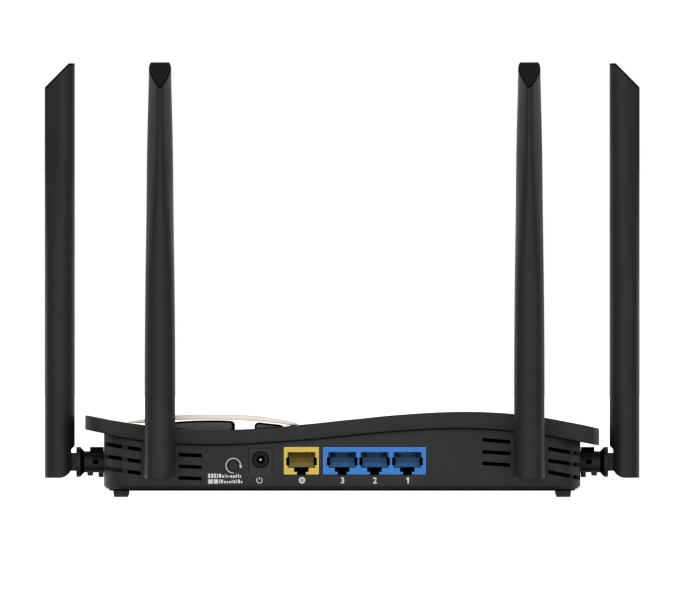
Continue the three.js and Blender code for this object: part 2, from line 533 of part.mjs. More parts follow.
const pinG = geometryOf(rod([FOLD_X, -PIN_HALF, AX_Z], [FOLD_X, PIN_HALF, AX_Z], PIN_R, PIN_R, 12));
const ANTENNAS = {
  side_left: [-BODY_X, SIDE_Y, Math.PI],
  side_right: [BODY_X, SIDE_Y, 0],
  rear_left: [REAR_XL, BODY_Y0, -Math.PI / 2],
  rear_right: [REAR_XR, BODY_Y0, -Math.PI / 2],
};
for (const [name, [x, y, turn]] of Object.entries(ANTENNAS)) {
  const g = new THREE.Group();
  g.position.set(x, y, 0);
  g.rotation.z = turn;
  root.add(g);
  add("antenna_" + name, sleeveG.clone(), "antenna", g);
  add("radiator_" + name, radG.clone(), "copper", g);
  add("knuckle_" + name, knuckleG.clone(), "knuckle", g);
  add("fold_pin_" + name, pinG.clone(), "steel", g);
  add("retaining_clip_" + name, clipG.clone(), "steel", g);
}

// ---------- coax leads inside the case ----------
function lead(name, points) {
  const curve = new THREE.CatmullRomCurve3(points.map((p) => new THREE.Vector3(...p)), false, "centripetal");
  const c = new THREE.Shape();
  const n = 6, r = 0.7;
  for (let i = 0; i < n; i++) {
    const a = (i / n) * Math.PI * 2;
    i ? c.lineTo(r * Math.cos(a), r * Math.sin(a)) : c.moveTo(r, 0);
  }
  c.closePath();
  const g = new THREE.ExtrudeGeometry(c, { steps: 13, bevelEnabled: false, extrudePath: curve });
  add(name, solid(g), "lead");
}
lead("coax_side_left", [[-96.0, SIDE_Y, AX_Z], [-91, SIDE_Y + 0.5, AX_Z - 0.6], [-83, -25, 8.6], [-72, -21, 6.2], [-62.5, -19, 6.4], [-60, -19, 9.2], [-57.5, -19, 11.2], [-54, -19, 11.0], [-52.5, -19, 10.2]]);
lead("coax_side_right", [[96.0, SIDE_Y, AX_Z], [91, SIDE_Y + 0.5, AX_Z - 0.6], [83, -25, 8.6], [72, -21, 6.2], [62.5, -19, 6.4], [60, -19, 9.2], [57.5, -19, 11.2], [54, -19, 11.0], [52.5, -19, 10.2]]);
lead("coax_rear_left", [[REAR_XL, -55.2, AX_Z], [REAR_XL, -51, AX_Z - 0.6], [REAR_XL + 1.5, -46, 8.4], [-72, -43, 6.2], [-62.5, -42, 6.4], [-60, -42, 9.2], [-57.5, -42, 11.2], [-54, -42, 11.0], [-52.5, -42, 10.2]]);
lead("coax_rear_right", [[REAR_XR, -55.2, AX_Z], [REAR_XR, -51, AX_Z - 0.6], [REAR_XR - 2, -46, 8.4], [72, -43, 6.2], [62.5, -42, 6.4], [60, -42, 9.2], [57.5, -42, 11.2], [54, -42, 11.0], [52.5, -42, 10.2]]);

export default root;
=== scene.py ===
import bisect
import math

import bmesh
import bpy
from mathutils import Matrix, Vector


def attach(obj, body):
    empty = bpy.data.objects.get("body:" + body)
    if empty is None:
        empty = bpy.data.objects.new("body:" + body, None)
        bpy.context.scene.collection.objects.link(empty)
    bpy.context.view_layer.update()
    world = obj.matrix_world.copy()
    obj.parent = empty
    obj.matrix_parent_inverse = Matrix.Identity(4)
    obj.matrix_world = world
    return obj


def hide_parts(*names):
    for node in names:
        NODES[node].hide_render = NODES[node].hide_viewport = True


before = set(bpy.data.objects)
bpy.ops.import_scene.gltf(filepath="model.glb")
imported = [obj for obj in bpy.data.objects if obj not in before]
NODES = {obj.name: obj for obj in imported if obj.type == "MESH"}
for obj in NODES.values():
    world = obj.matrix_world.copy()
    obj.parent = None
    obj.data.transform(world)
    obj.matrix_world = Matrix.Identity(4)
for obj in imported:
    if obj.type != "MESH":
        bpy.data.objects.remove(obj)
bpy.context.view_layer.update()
MM = 0.001

# =====================================================================
# materials
# =====================================================================


class Graph:
    """A material and the few node patterns that every finish here shares."""

    def __init__(self, name):
        self.mat = bpy.data.materials.new(name)
        self.mat.use_nodes = True
        self.nt = self.mat.node_tree
        self.nt.nodes.clear()
        self.out = self.new("ShaderNodeOutputMaterial")
        self.bsdf = self.new("ShaderNodeBsdfPrincipled")
        self.link(self.bsdf.outputs[0], self.out.inputs["Surface"])
        self.coord = self.new("ShaderNodeTexCoord").outputs["Object"]

    def new(self, kind, **props):
        n = self.nt.nodes.new(kind)
        for k, v in props.items():
            setattr(n, k, v)
        return n

    def link(self, a, b):
        self.nt.links.new(a, b)

    def stretch(self, scale):
        m = self.new("ShaderNodeMapping")
        m.inputs["Scale"].default_value = scale
        self.link(self.coord, m.inputs["Vector"])
        return m.outputs[0]

    def noise(self, scale, detail=3.0, rough=0.55, vector=None, distort=0.0):
        n = self.new("ShaderNodeTexNoise")
        n.inputs["Scale"].default_value = scale
        n.inputs["Detail"].default_value = detail
        n.inputs["Roughness"].default_value = rough
        n.inputs["Distortion"].default_value = distort
        self.link(vector or self.coord, n.inputs["Vector"])
        return n.outputs[0]

    def voronoi(self, scale, feature="F1", vector=None):
        n = self.new("ShaderNodeTexVoronoi", feature=feature)
        n.inputs["Scale"].default_value = scale
        self.link(vector or self.coord, n.inputs["Vector"])
        return n.outputs["Distance"]

    def wave(self, scale, direction="X", distort=0.0, vector=None):
        n = self.new("ShaderNodeTexWave", bands_direction=direction)
        n.inputs["Scale"].default_value = scale
        n.inputs["Distortion"].default_value = distort
        self.link(vector or self.coord, n.inputs["Vector"])
        return n.outputs["Fac"]

    def remap(self, value, lo, hi, out_lo, out_hi):
        n = self.new("ShaderNodeMapRange")
        n.clamp = True
        for k, v in zip(("From Min", "From Max", "To Min", "To Max"), (lo, hi, out_lo, out_hi)):
            n.inputs[k].default_value = v
        self.link(value, n.inputs["Value"])
        return n.outputs[0]

    def math(self, op, a, b):
        n = self.new("ShaderNodeMath", operation=op)
        for i, v in enumerate((a, b)):
            if isinstance(v, (int, float)):
                n.inputs[i].default_value = v
            else:
                self.link(v, n.inputs[i])
        return n.outputs[0]

    def ramp(self, value, stops):
        n = self.new("ShaderNodeValToRGB")
        e = n.color_ramp.elements
        while len(e) < len(stops):
            e.new(0.5)
        for i, (p, c) in enumerate(stops):
            e[i].position = p
            e[i].color = (*c, 1) if len(c) == 3 else c
        self.link(value, n.inputs["Fac"])
        return n.outputs["Color"]

    def mix(self, fac, a, b, blend="MIX"):
        n = self.new("ShaderNodeMix", data_type="RGBA", blend_type=blend)
        for socket, v in ((n.inputs[0], fac), (n.inputs[6], a), (n.inputs[7], b)):
            if isinstance(v, (int, float)):
                socket.default_value = v
            elif isinstance(v, tuple):
                socket.default_value = (*v, 1)
            else:
                self.link(v, socket)
        return n.outputs[2]

    def edges(self, lo=0.52, hi=0.62):
        return self.remap(self.new("ShaderNodeNewGeometry").outputs["Pointiness"], lo, hi, 0.0, 1.0)

    def bump(self, height, strength, distance, under=None):
        n = self.new("ShaderNodeBump")
        n.inputs["Strength"].default_value = strength
        n.inputs["Distance"].default_value = distance
        self.link(height, n.inputs["Height"])
        if under is not None:
            self.link(under, n.inputs["Normal"])
        return n.outputs[0]

    def set(self, **sockets):
        for k, v in sockets.items():
            s = self.bsdf.inputs[k.replace("_", " ")]
            if isinstance(v, (int, float)):
                s.default_value = v
            elif isinstance(v, tuple):
                s.default_value = (*v, 1) if len(v) == 3 else v
            else:
                self.link(v, s)
        return self


def shade(c, k):
    return tuple(min(1.0, x * k) for x in c)


def plastic(name, base, rough=0.5, grain=2400.0, depth=0.00003, specular=0.3, vary=0.12, wear=1.7, strength=0.35, coat=0.0):
    """Moulded plastic: a fine spark-eroded grain, slow colour drift, soft polish patches and lighter rubbed edges."""
    g = Graph(name)
    slow = g.noise(38.0, 4.0, 0.6)
    fine = g.noise(grain, 2.0, 0.6)
    cells = g.voronoi(grain * 0.75)
    body = g.ramp(slow, [(0.25, shade(base, 1 - vary)), (0.75, shade(base, 1 + vary))])
    speck = g.mix(g.remap(fine, 0.35, 0.7, 0.0, 0.22), body, shade(base, 1.35))
    col = g.mix(g.math("MULTIPLY", g.edges(), g.remap(g.noise(260.0), 0.35, 0.65, 0.15, 0.75)), speck, shade(base, wear))
    handled = g.noise(17.0, 3.0, 0.5, distort=0.6)
    r = g.math("ADD", g.remap(handled, 0.3, 0.7, rough - 0.05, rough + 0.05), g.remap(fine, 0.3, 0.7, -0.035, 0.035))
    r = g.math("SUBTRACT", r, g.math("MULTIPLY", g.edges(0.53, 0.64), 0.06))
    skin = g.bump(g.math("ADD", fine, g.math("MULTIPLY", cells, 0.6)), strength, depth)
    g.set(Base_Color=col, Roughness=r, Normal=skin, Specular_IOR_Level=specular)
    if coat:
        g.set(Coat_Weight=coat, Coat_Roughness=0.18)
    return g.mat


def rubber(name, base):
    g = Graph(name)
    n = g.noise(1500.0, 3.0, 0.65)
    dust = g.noise(90.0, 4.0, 0.7)
    col = g.mix(g.remap(dust, 0.45, 0.75, 0.0, 0.3), g.ramp(n, [(0.3, shade(base, 0.8)), (0.7, shade(base, 1.25))]), shade(base, 2.2))
    g.set(Base_Color=col, Roughness=g.remap(dust, 0.3, 0.7, 0.72, 0.9), Normal=g.bump(n, 0.5, 0.00005), Specular_IOR_Level=0.25)
    return g.mat


def metal(name, base, rough=0.3, brushed=None, tarnish=0.12):
    g = Graph(name)
    v = g.stretch(brushed) if brushed else None
    lines = g.noise(900.0, 3.0, 0.6, vector=v)
    blotch = g.noise(120.0, 4.0, 0.6)
    col = g.mix(g.remap(blotch, 0.4, 0.75, 0.0, 0.8), g.ramp(lines, [(0.3, shade(base, 1 - tarnish)), (0.7, base)]), shade(base, 1 - 2 * tarnish))
    col = g.mix(g.math("MULTIPLY", g.edges(), 0.5), col, shade(base, 1.25))
    r = g.math("ADD", g.remap(lines, 0.3, 0.7, rough - 0.07, rough + 0.08), g.remap(blotch, 0.4, 0.8, 0.0, 0.09))
    g.set(Base_Color=col, Metallic=1.0, Roughness=r, Normal=g.bump(lines, 0.25, 0.00002))
    return g.mat


def pearl(name, base):
    """Champagne paint: fine metallic flake under a satin lacquer."""
    g = Graph(name)
    flake = g.voronoi(3200.0)
    slow = g.noise(26.0, 3.0, 0.55)
    col = g.ramp(slow, [(0.25, shade(base, 0.95)), (0.75, shade(base, 1.03))])
    col = g.mix(g.remap(flake, 0.0, 0.45, 0.3, 0.0), col, shade(base, 1.12))
    col = g.mix(g.math("MULTIPLY", g.edges(), 0.35), col, shade(base, 1.1))
    r = g.math("ADD", g.remap(slow, 0.3, 0.7, 0.3, 0.38), g.remap(flake, 0.0, 0.5, -0.04, 0.04))
    g.set(Base_Color=col, Metallic=0.25, Roughness=r, Normal=g.bump(flake, 0.12, 0.000012), Coat_Weight=0.4, Coat_Roughness=0.15)
    return g.mat


def ink(name, base):
    """Pad-printed ink with a slightly broken edge and pinholes."""
    g = Graph(name)
    holes = g.noise(5200.0, 2.0, 0.6)
    col = g.ramp(holes, [(0.28, shade(base, 0.55)), (0.42, base)])
    g.set(Base_Color=col, Roughness=g.remap(holes, 0.3, 0.7, 0.5, 0.66), Normal=g.bump(holes, 0.3, 0.00001), Specular_IOR_Level=0.3)
    return g.mat


def board(name, base):
    """Solder mask over copper: faint traces, plated pads and a silk of glass weave."""
    g = Graph(name)
    weave = g.math("MULTIPLY", g.wave(900.0, "X"), g.wave(900.0, "Y"))
    traces = g.voronoi(210.0, "DISTANCE_TO_EDGE")
    pads = g.voronoi(420.0)
    col = g.mix(g.remap(weave, 0.0, 1.0, 0.0, 0.25), base, shade(base, 1.5))
    col = g.mix(g.remap(traces, 0.0, 0.06, 0.65, 0.0), col, shade(base, 2.1))
    col = g.mix(g.remap(pads, 0.06, 0.1, 1.0, 0.0), col, (0.72, 0.55, 0.25))
    g.set(Base_Color=col, Roughness=g.remap(traces, 0.0, 0.08, 0.28, 0.42), Normal=g.bump(traces, 0.4, 0.00003), Specular_IOR_Level=0.5)
    return g.mat


def frosted(name, base):
    g = Graph(name)
    n = g.noise(700.0, 3.0, 0.5)
    g.set(Base_Color=g.ramp(n, [(0.3, shade(base, 0.9)), (0.7, base)]), Roughness=g.remap(n, 0.3, 0.7, 0.22, 0.36),
          Transmission_Weight=0.55, IOR=1.49, Normal=g.bump(n, 0.2, 0.00002))
    return g.mat


def paper(name, base):
    g = Graph(name)
    fibre = g.noise(1300.0, 5.0, 0.7)
    stain = g.noise(60.0, 3.0, 0.6)
    col = g.mix(g.remap(stain, 0.4, 0.8, 0.0, 0.35), g.ramp(fibre, [(0.3, shade(base, 0.93)), (0.7, base)]), shade(base, 0.86))
    g.set(Base_Color=col, Roughness=g.remap(fibre, 0.3, 0.7, 0.42, 0.58), Normal=g.bump(fibre, 0.25, 0.00002))
    return g.mat


MAT = {
    "case": plastic("case_black", (0.0206, 0.0209, 0.0214), 0.5, 2600, specular=0.27),
    "cover": plastic("cover_black", (0.0196, 0.0199, 0.0204), 0.46, 3000, specular=0.27),
    "antenna": plastic("antenna_black", (0.0128, 0.013, 0.0135), 0.42, 3000, specular=0.3),
    "knuckle": plastic("knuckle_black", (0.0152, 0.0155, 0.016), 0.48, 2600, specular=0.27),
    "button": plastic("button_black", (0.0206, 0.0209, 0.0214), 0.45, 3000, specular=0.3),
    "inlet": plastic("inlet_black", (0.0195, 0.0198, 0.0202), 0.45, 3000, specular=0.3),
    "panel": plastic("panel_smoke", (0.040, 0.0406, 0.0435), 0.34, 3400, specular=0.35),
    "yellow": plastic("socket_yellow", (0.8, 0.6, 0.105), 0.42, 2200, specular=0.35, vary=0.05, wear=1.06),
    # darker copies of the socket colours: painted shade for the socket insides
    "yellow_mid": plastic("socket_yellow_inside", (0.4, 0.315, 0.08), 0.5, 2200, specular=0.2, vary=0.06, wear=1.05),
    "yellow_low": plastic("socket_yellow_painted_deep_shade", (0.3, 0.23, 0.042), 0.55, 2200, specular=0.15, vary=0.06, wear=1.05),
    "blue": plastic("socket_blue", (0.04, 0.222, 0.65), 0.4, 2200, specular=0.35, vary=0.05, wear=1.12),
    "blue_mid": plastic("socket_blue_inside", (0.056, 0.19, 0.46), 0.5, 2200, specular=0.2, vary=0.06, wear=1.1),
    "blue_low": plastic("socket_blue_painted_deep_shade", (0.044, 0.14, 0.33), 0.55, 2200, specular=0.15, vary=0.06, wear=1.1),
    # painted shade: a deepest black, a near-black, a dark grey, and a grey strip laid over a reflection, for faces that
    # should read shaded
    "painted_deep_shade": plastic("black_for_painted_deep_shade", (0.0012, 0.0012, 0.0013), 0.75, 1800, specular=0.04, wear=1.2),
    "dark": plastic("painted_shade_black", (0.004, 0.004, 0.0042), 0.6, 2400, specular=0.12, wear=1.3),
    "shade": plastic("painted_shade_grey", (0.009, 0.009, 0.0095), 0.5, 2600, specular=0.27, wear=1.4),
    "painted_shade_strip": plastic("painted_shade_strip_grey", (0.028, 0.0285, 0.029), 0.8, 2000, specular=0.03, wear=1.05),
    "clip": plastic("blackened_steel", (0.006, 0.006, 0.0065), 0.4, 1600, specular=0.3, wear=2.2),
    "chip": plastic("chip_black", (0.012, 0.012, 0.013), 0.6, 1800, specular=0.35),
    "lead": plastic("lead_grey", (0.035, 0.036, 0.039), 0.5, 1400),
    "rubber": rubber("foot_rubber", (0.044, 0.044, 0.0445)),
    "plate": pearl("champagne_pearl", (0.93, 0.85, 0.755)),
    "ink": ink("white_ink", (0.86, 0.86, 0.85)),
    "gold": metal("contact_gold", (0.83, 0.6, 0.28), 0.28),
    "steel": metal("plated_steel", (0.6, 0.61, 0.62), 0.3),
    "tin": metal("tinned_steel", (0.66, 0.67, 0.66), 0.36, brushed=(1.0, 12.0, 1.0)),
    "heatsink": metal("heatsink_aluminium", (0.62, 0.63, 0.65), 0.38, brushed=(10.0, 1.0, 1.0)),
    "copper": metal("copper_strip", (0.72, 0.36, 0.19), 0.34),
    "board": board("board_green", (0.012, 0.09, 0.03)),
    "light": frosted("light_clear", (0.84, 0.88, 0.92)),
    "label": paper("label_paper", (0.66, 0.66, 0.64)),
}

LOOKS = {
    "lower_case": "case", "top_cover": "cover", "vent_panel_left": "panel", "vent_panel_right": "panel", "bridge_plate": "plate",
    "blank_label": "label", "main_board": "board", "heatsink": "heatsink", "processor": "chip", "shield_can_left": "tin",
    "shield_can_right": "tin", "wan_transformer": "chip", "lan_transformer": "chip", "status_led": "light", "light_pipe": "light",
    "wan_socket": "yellow", "lan_socket_block": "blue", "power_inlet": "inlet", "power_inlet_pin": "steel",
    "reset_button": "button", "reset_switch": "chip",
}
for _n in NODES:
    if _n.startswith("foot_"): LOOKS[_n] = "rubber"
    elif _n.startswith("case_screw"): LOOKS[_n] = "steel"
    elif _n.endswith("_contacts"): LOOKS[_n] = "gold"
    elif _n.startswith("antenna_"): LOOKS[_n] = "antenna"
    elif _n.startswith("radiator_"): LOOKS[_n] = "copper"
    elif _n.startswith("knuckle_"): LOOKS[_n] = "knuckle"
    elif _n.startswith("fold_pin"): LOOKS[_n] = "steel"
    elif _n.startswith("retaining_clip"): LOOKS[_n] = "clip"
    elif _n.startswith("coax_"): LOOKS[_n] = "lead"
for _n, _o in NODES.items():
    _o.data.materials.clear()
    _o.data.materials.append(MAT[LOOKS[_n]])

# =====================================================================
# mesh tools: everything below is written in millimetres and turned into metres when a mesh is made
# =====================================================================


def herm(table):
    """A smooth curve through x, z points."""
    xs, zs = [p[0] for p in table], [p[1] for p in table]
    n = len(xs)
    m = []
    for i in range(n):
        if i == 0:
            m.append((zs[1] - zs[0]) / (xs[1] - xs[0]))
        elif i == n - 1:
            m.append((zs[-1] - zs[-2]) / (xs[-1] - xs[-2]))
        else:
            h0, h1 = xs[i] - xs[i - 1], xs[i + 1] - xs[i]
            m.append(((zs[i] - zs[i - 1]) / h0 * h1 + (zs[i + 1] - zs[i]) / h1 * h0) / (h0 + h1))

    def f(x):
        if x <= xs[0]:
            return zs[0]
        if x >= xs[-1]:
            return zs[-1]
        i = bisect.bisect_right(xs, x) - 1
        h = xs[i + 1] - xs[i]
        t = (x - xs[i]) / h
        return ((2 * t ** 3 - 3 * t * t + 1) * zs[i] + (t ** 3 - 2 * t * t + t) * h * m[i]
                + (3 * t * t - 2 * t ** 3) * zs[i + 1] + (t ** 3 - t * t) * h * m[i + 1])

    return f


def build(name, verts, faces, keep_normals=False):
    me = bpy.data.meshes.new(name)
    me.from_pydata([(x * MM, y * MM, z * MM) for x, y, z in verts], [], faces)
    bm = bmesh.new()
    bm.from_mesh(me)
    bmesh.ops.remove_doubles(bm, verts=bm.verts, dist=1e-7)
    bmesh.ops.dissolve_degenerate(bm, edges=bm.edges, dist=1e-8)
    if not keep_normals:
        bmesh.ops.recalc_face_normals(bm, faces=bm.faces)
    bm.to_mesh(me)
    bm.free()
    o = bpy.data.objects.new(name, me)
    bpy.context.scene.collection.objects.link(o)
    return o


def gone(o):
    me = o.data
    bpy.data.objects.remove(o)
    if me.users == 0:
        bpy.data.meshes.remove(me)


def bake(o):
    dg = bpy.context.evaluated_depsgraph_get()
    dg.update()
    me = bpy.data.meshes.new_from_object(o.evaluated_get(dg))
    o.modifiers.clear()
    old = o.data
    o.data = me
    bpy.data.meshes.remove(old)
    return o


def joined(name, parts):
    """Several closed meshes as one object."""
    bm = bmesh.new()
    for p in parts:
        bm.from_mesh(p.data)
    me = bpy.data.meshes.new(name)
    bm.to_mesh(me)
    bm.free()
    for p in parts:
        gone(p)
    o = bpy.data.objects.new(name, me)
    bpy.context.scene.collection.objects.link(o)
    return o


def boolean(o, other, op="DIFFERENCE", solver="MANIFOLD"):
    before = len(o.data.vertices)
    kept = o.data.copy()
    m = o.modifiers.new("cut", "BOOLEAN")
    m.operation, m.object, m.solver = op, other, solver
    bake(o)
    if len(o.data.vertices) == 0 or (len(o.data.vertices) == before and solver == "MANIFOLD"):
        if solver == "MANIFOLD":
            old = o.data
            o.data = kept
            bpy.data.meshes.remove(old)
            print("boolean: exact solver for", o.name, other.name)
            return boolean(o, other, op, "EXACT")
    bpy.data.meshes.remove(kept)
    gone(other)
    return o


def bevel(o, width, segments=2, angle=35):
    m = o.modifiers.new("edge", "BEVEL")
    m.width, m.segments, m.limit_method, m.angle_limit = width * MM, segments, "ANGLE", math.radians(angle)
    m.miter_outer = "MITER_ARC" if segments > 1 else "MITER_SHARP"
    m.use_clamp_overlap = True
    return bake(o)


def finish_mesh(o, mat, angle=32):
    me = o.data
    me.materials.clear()
    me.materials.append(MAT[mat])
    for p in me.polygons:
        p.use_smooth = True
        p.material_index = 0
    me.set_sharp_from_angle(angle=math.radians(angle))
    return o


def region(o, mat, test):
    """A second finish for the faces that pass a test on their centre (mm) and normal; here mostly painted shade."""
    me = o.data
    me.materials.append(MAT[mat])
    k = len(me.materials) - 1
    for p in me.polygons:
        c = p.center / MM
        if test(c.x, c.y, c.z, p.normal):
            p.material_index = k
    return o


def piece(o, mat, body, *nodes, angle=32):
    finish_mesh(o, mat, angle)
    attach(o, body)
    if nodes:
        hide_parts(*nodes)
    return o


def plan(x0, x1, y0, y1, r, nx=24, nc=8):
    """Rear half of a rounded rectangle from left to right, then the front half back again."""
    rear = []
    for i in range(nc + 1):
        a = math.pi + math.pi / 2 * i / nc
        rear.append((x0 + r + r * math.cos(a), y0 + r + r * math.sin(a)))
    for i in range(1, nx):
        rear.append((x0 + r + (x1 - x0 - 2 * r) * i / nx, y0))
    for i in range(nc + 1):
        a = -math.pi / 2 + math.pi / 2 * i / nc
        rear.append((x1 - r + r * math.cos(a), y0 + r + r * math.sin(a)))
    return rear + [(x, y0 + y1 - y) for x, y in reversed(rear)]


def loft(name, rings):
    """Closed solid through rings of equal count, each end closed by rungs across the ring."""
    n = len(rings[0])
    m = n // 2
    verts = [p for r in rings for p in r]
    faces = []
    for k in range(len(rings) - 1):
        a, b = k * n, (k + 1) * n
        for i in range(n):
            j = (i + 1) % n
            faces.append((a + i, a + j, b + j, b + i))
    for base in (0, (len(rings) - 1) * n):
        for i in range(m - 1):
            faces.append((base + i, base + i + 1, base + n - 2 - i, base + n - 1 - i))
    return build(name, verts, faces)


def lifted(points, z):
    return [(x, y, z(x, y) if callable(z) else z) for x, y in points]


def rounded(points, r, seg=3):
    """A closed polygon with its corners rounded. r is one radius or one for each corner."""
    n = len(points)
    out = []
    for i, p in enumerate(points):
        rad = r[i] if isinstance(r, (list, tuple)) else r
        a, b = Vector(points[i - 1]), Vector(points[(i + 1) % n])
        v = Vector(p)
        u, w = (a - v), (b - v)
        lu, lw = u.length, w.length
        if rad <= 0 or lu < 1e-6 or lw < 1e-6:
            out.append(tuple(p))
            continue
        u, w = u / lu, w / lw
        cosang = max(-0.9999, min(0.9999, u.dot(w)))
        half = math.acos(cosang) / 2
        t = min(rad / math.tan(half), lu * 0.49, lw * 0.49)
        p0, p1 = v + u * t, v + w * t
        for k in range(seg + 1):
            s = k / seg
            q = p0 * (1 - s) ** 2 + v * 2 * s * (1 - s) + p1 * s * s
            out.append((q[0], q[1]))
    return out


def prism(name, poly, a, b, axis="y", at=(0, 0, 0)):
    """A closed polygon pushed along an axis: (x, z) along y, (x, y) along z, (y, z) along x."""
    def put(p, t):
        if axis == "y":
            q = (p[0], t, p[1])
        elif axis == "z":
            q = (p[0], p[1], t)
        else:
            q = (t, p[0], p[1])
        return tuple(q[i] + at[i] for i in range(3))

    n = len(poly)
    verts = [put(p, a) for p in poly] + [put(p, b) for p in poly]
    faces = [tuple(range(n)), tuple(range(2 * n - 1, n - 1, -1))]
    faces += [(i, (i + 1) % n, n + (i + 1) % n, n + i) for i in range(n)]
    return build(name, verts, faces)


def rect(x0, x1, z0, z1, r=0.0, seg=3):
    p = [(x0, z0), (x1, z0), (x1, z1), (x0, z1)]
    return rounded(p, r, seg) if r else p


def block(name, x0, x1, y0, y1, z0, z1):
    return prism(name, rect(x0, x1, y0, y1), z0, z1, "z")


def lathe(name, profile, n=48, axis="x", at=(0, 0, 0)):
    """A profile of (distance along the axis, radius) turned round the axis."""
    verts, faces, rows = [], [], []
    for u, r in profile:
        row = []
        for i in range(n if r > 1e-6 else 1):
            a = 2 * math.pi * i / n
            c, s = r * math.cos(a), r * math.sin(a)
            q = {"x": (u, c, s), "y": (s, u, c), "z": (c, s, u)}[axis]
            row.append(len(verts))
            verts.append(tuple(q[k] + at[k] for k in range(3)))
        rows.append(row)
    for a, b in zip(rows, rows[1:]):
        for i in range(n):
            j = (i + 1) % n
            if len(a) == 1 and len(b) == 1:
                continue
            if len(a) == 1:
                faces.append((a[0], b[j], b[i]))
            elif len(b) == 1:
                faces.append((a[i], a[j], b[0]))
            else:
                faces.append((a[i], a[j], b[j], b[i]))
    for row in (rows[0], rows[-1]):
        if len(row) > 1:
            faces.append(tuple(row))
    return build(name, verts, faces)


def turned(points, r, seg=3):
    """An open lathe profile with its inner corners rounded."""
    n = len(points)
    out = [points[0]]
    for i in range(1, n - 1):
        rad = r[i] if isinstance(r, (list, tuple)) else r
        v, a, b = Vector(points[i]), Vector(points[i - 1]), Vector(points[i + 1])
        u, w = a - v, b - v
        lu, lw = u.length, w.length
        if rad <= 0 or lu < 1e-6 or lw < 1e-6:
            out.append(points[i])
            continue
        u, w = u / lu, w / lw
        half = math.acos(max(-0.9999, min(0.9999, u.dot(w)))) / 2
        t = min(rad / math.tan(half), lu * 0.49, lw * 0.49)
        p0, p1 = v + u * t, v + w * t
        for k in range(seg + 1):
            s = k / seg
            q = p0 * (1 - s) ** 2 + v * 2 * s * (1 - s) + p1 * s * s
            out.append((q[0], q[1]))
    out.append(points[-1])
    return out


def rod(name, a, b, r, n=40, axis="z", at=(0, 0, 0), edge=0.0):
    p = [(a, 0), (a, r), (b, r), (b, 0)]
    return lathe(name, turned(p, edge) if edge else p, n, axis, at)


def placed(o, matrix):
    """The same mesh moved to where it belongs; the object itself stays at the origin."""
    o.data.transform(matrix)
    o.data.update()
    return o


def copy_of(o, name):
    c = bpy.data.objects.new(name, o.data.copy())
    bpy.context.scene.collection.objects.link(c)
    return c


# =====================================================================
# the design's sizes, as in the CAD frame
# =====================================================================
BX, BY0, BY1, BR = 102.35, -61.25, 82.0, 16.2
CX, CY0, CY1, CR = 110.3, -63.25, 86.75, 11.5
SLOPE = 0.005
AX_Z = 15.0
TOP = herm([
    (-110.1, 35.22), (-104.7, 34.12), (-99.6, 33.12), (-94.4, 32.27), (-89.3, 31.52), (-84.0, 30.77), (-78.1, 30.12), (-70.4, 29.52),
    (-61.0, 29.17), (-54.5, 29.07), (-46.4, 29.07), (-39.5, 29.32), (-32.7, 29.72), (-25.8, 30.32), (-19.0, 31.02), (-12.1, 31.67),
    (-5.2, 32.42), (1.7, 33.17), (8.5, 33.82), (15.3, 34.57), (22.2, 35.22), (29.1, 35.72), (35.9, 36.19), (42.8, 36.52), (49.6, 36.7),
    (56.5, 36.7), (63.3, 36.47), (70.2, 36.07), (76.5, 35.42), (82.5, 34.72), (88.3, 33.92), (94.0, 32.87), (99.5, 31.82),
    (105.0, 30.72), (110.1, 29.52)])
SEAM = herm([
    (-110.1, 29.0), (-106.4, 28.2), (-102.1, 27.4), (-97.0, 26.2), (-91.9, 25.4), (-86.7, 24.6), (-78.1, 23.6), (-70.4, 23.05),
    (-61.0, 22.8), (-49.8, 22.8), (-43.0, 23.0), (-36.1, 23.4), (-29.3, 23.85), (-22.4, 24.35), (-15.5, 24.9), (-8.7, 25.5),
    (-1.8, 26.25), (5.1, 26.9), (11.9, 27.6), (18.8, 28.2), (25.6, 28.7), (32.5, 29.15), (39.4, 29.5), (46.2, 29.7), (53.1, 29.75),
    (59.9, 29.55), (66.8, 29.1), (73.0, 28.5), (80.0, 27.6), (88.3, 26.5), (94.0, 25.5), (98.5, 24.6), (102.1, 23.8),
    (106.4, 23.05), (110.1, 22.3)])


def smooth(t):
    t = max(0.0, min(1.0, t))
    return t * t * (3 - 2 * t)


def fall(y):
    return SLOPE * (y - CY0)


def top_z(dz=0.0):
    return lambda x, y: TOP(x) - fall(y) + dz


def seam_z(dz=0.0):
    return lambda x, y: SEAM(x) - fall(y) + dz


# =====================================================================
# lower case
# =====================================================================
def body_plan(off):
    return plan(-BX + off, BX - off, BY0 + off, BY1 - off, BR - off, nx=110, nc=12)


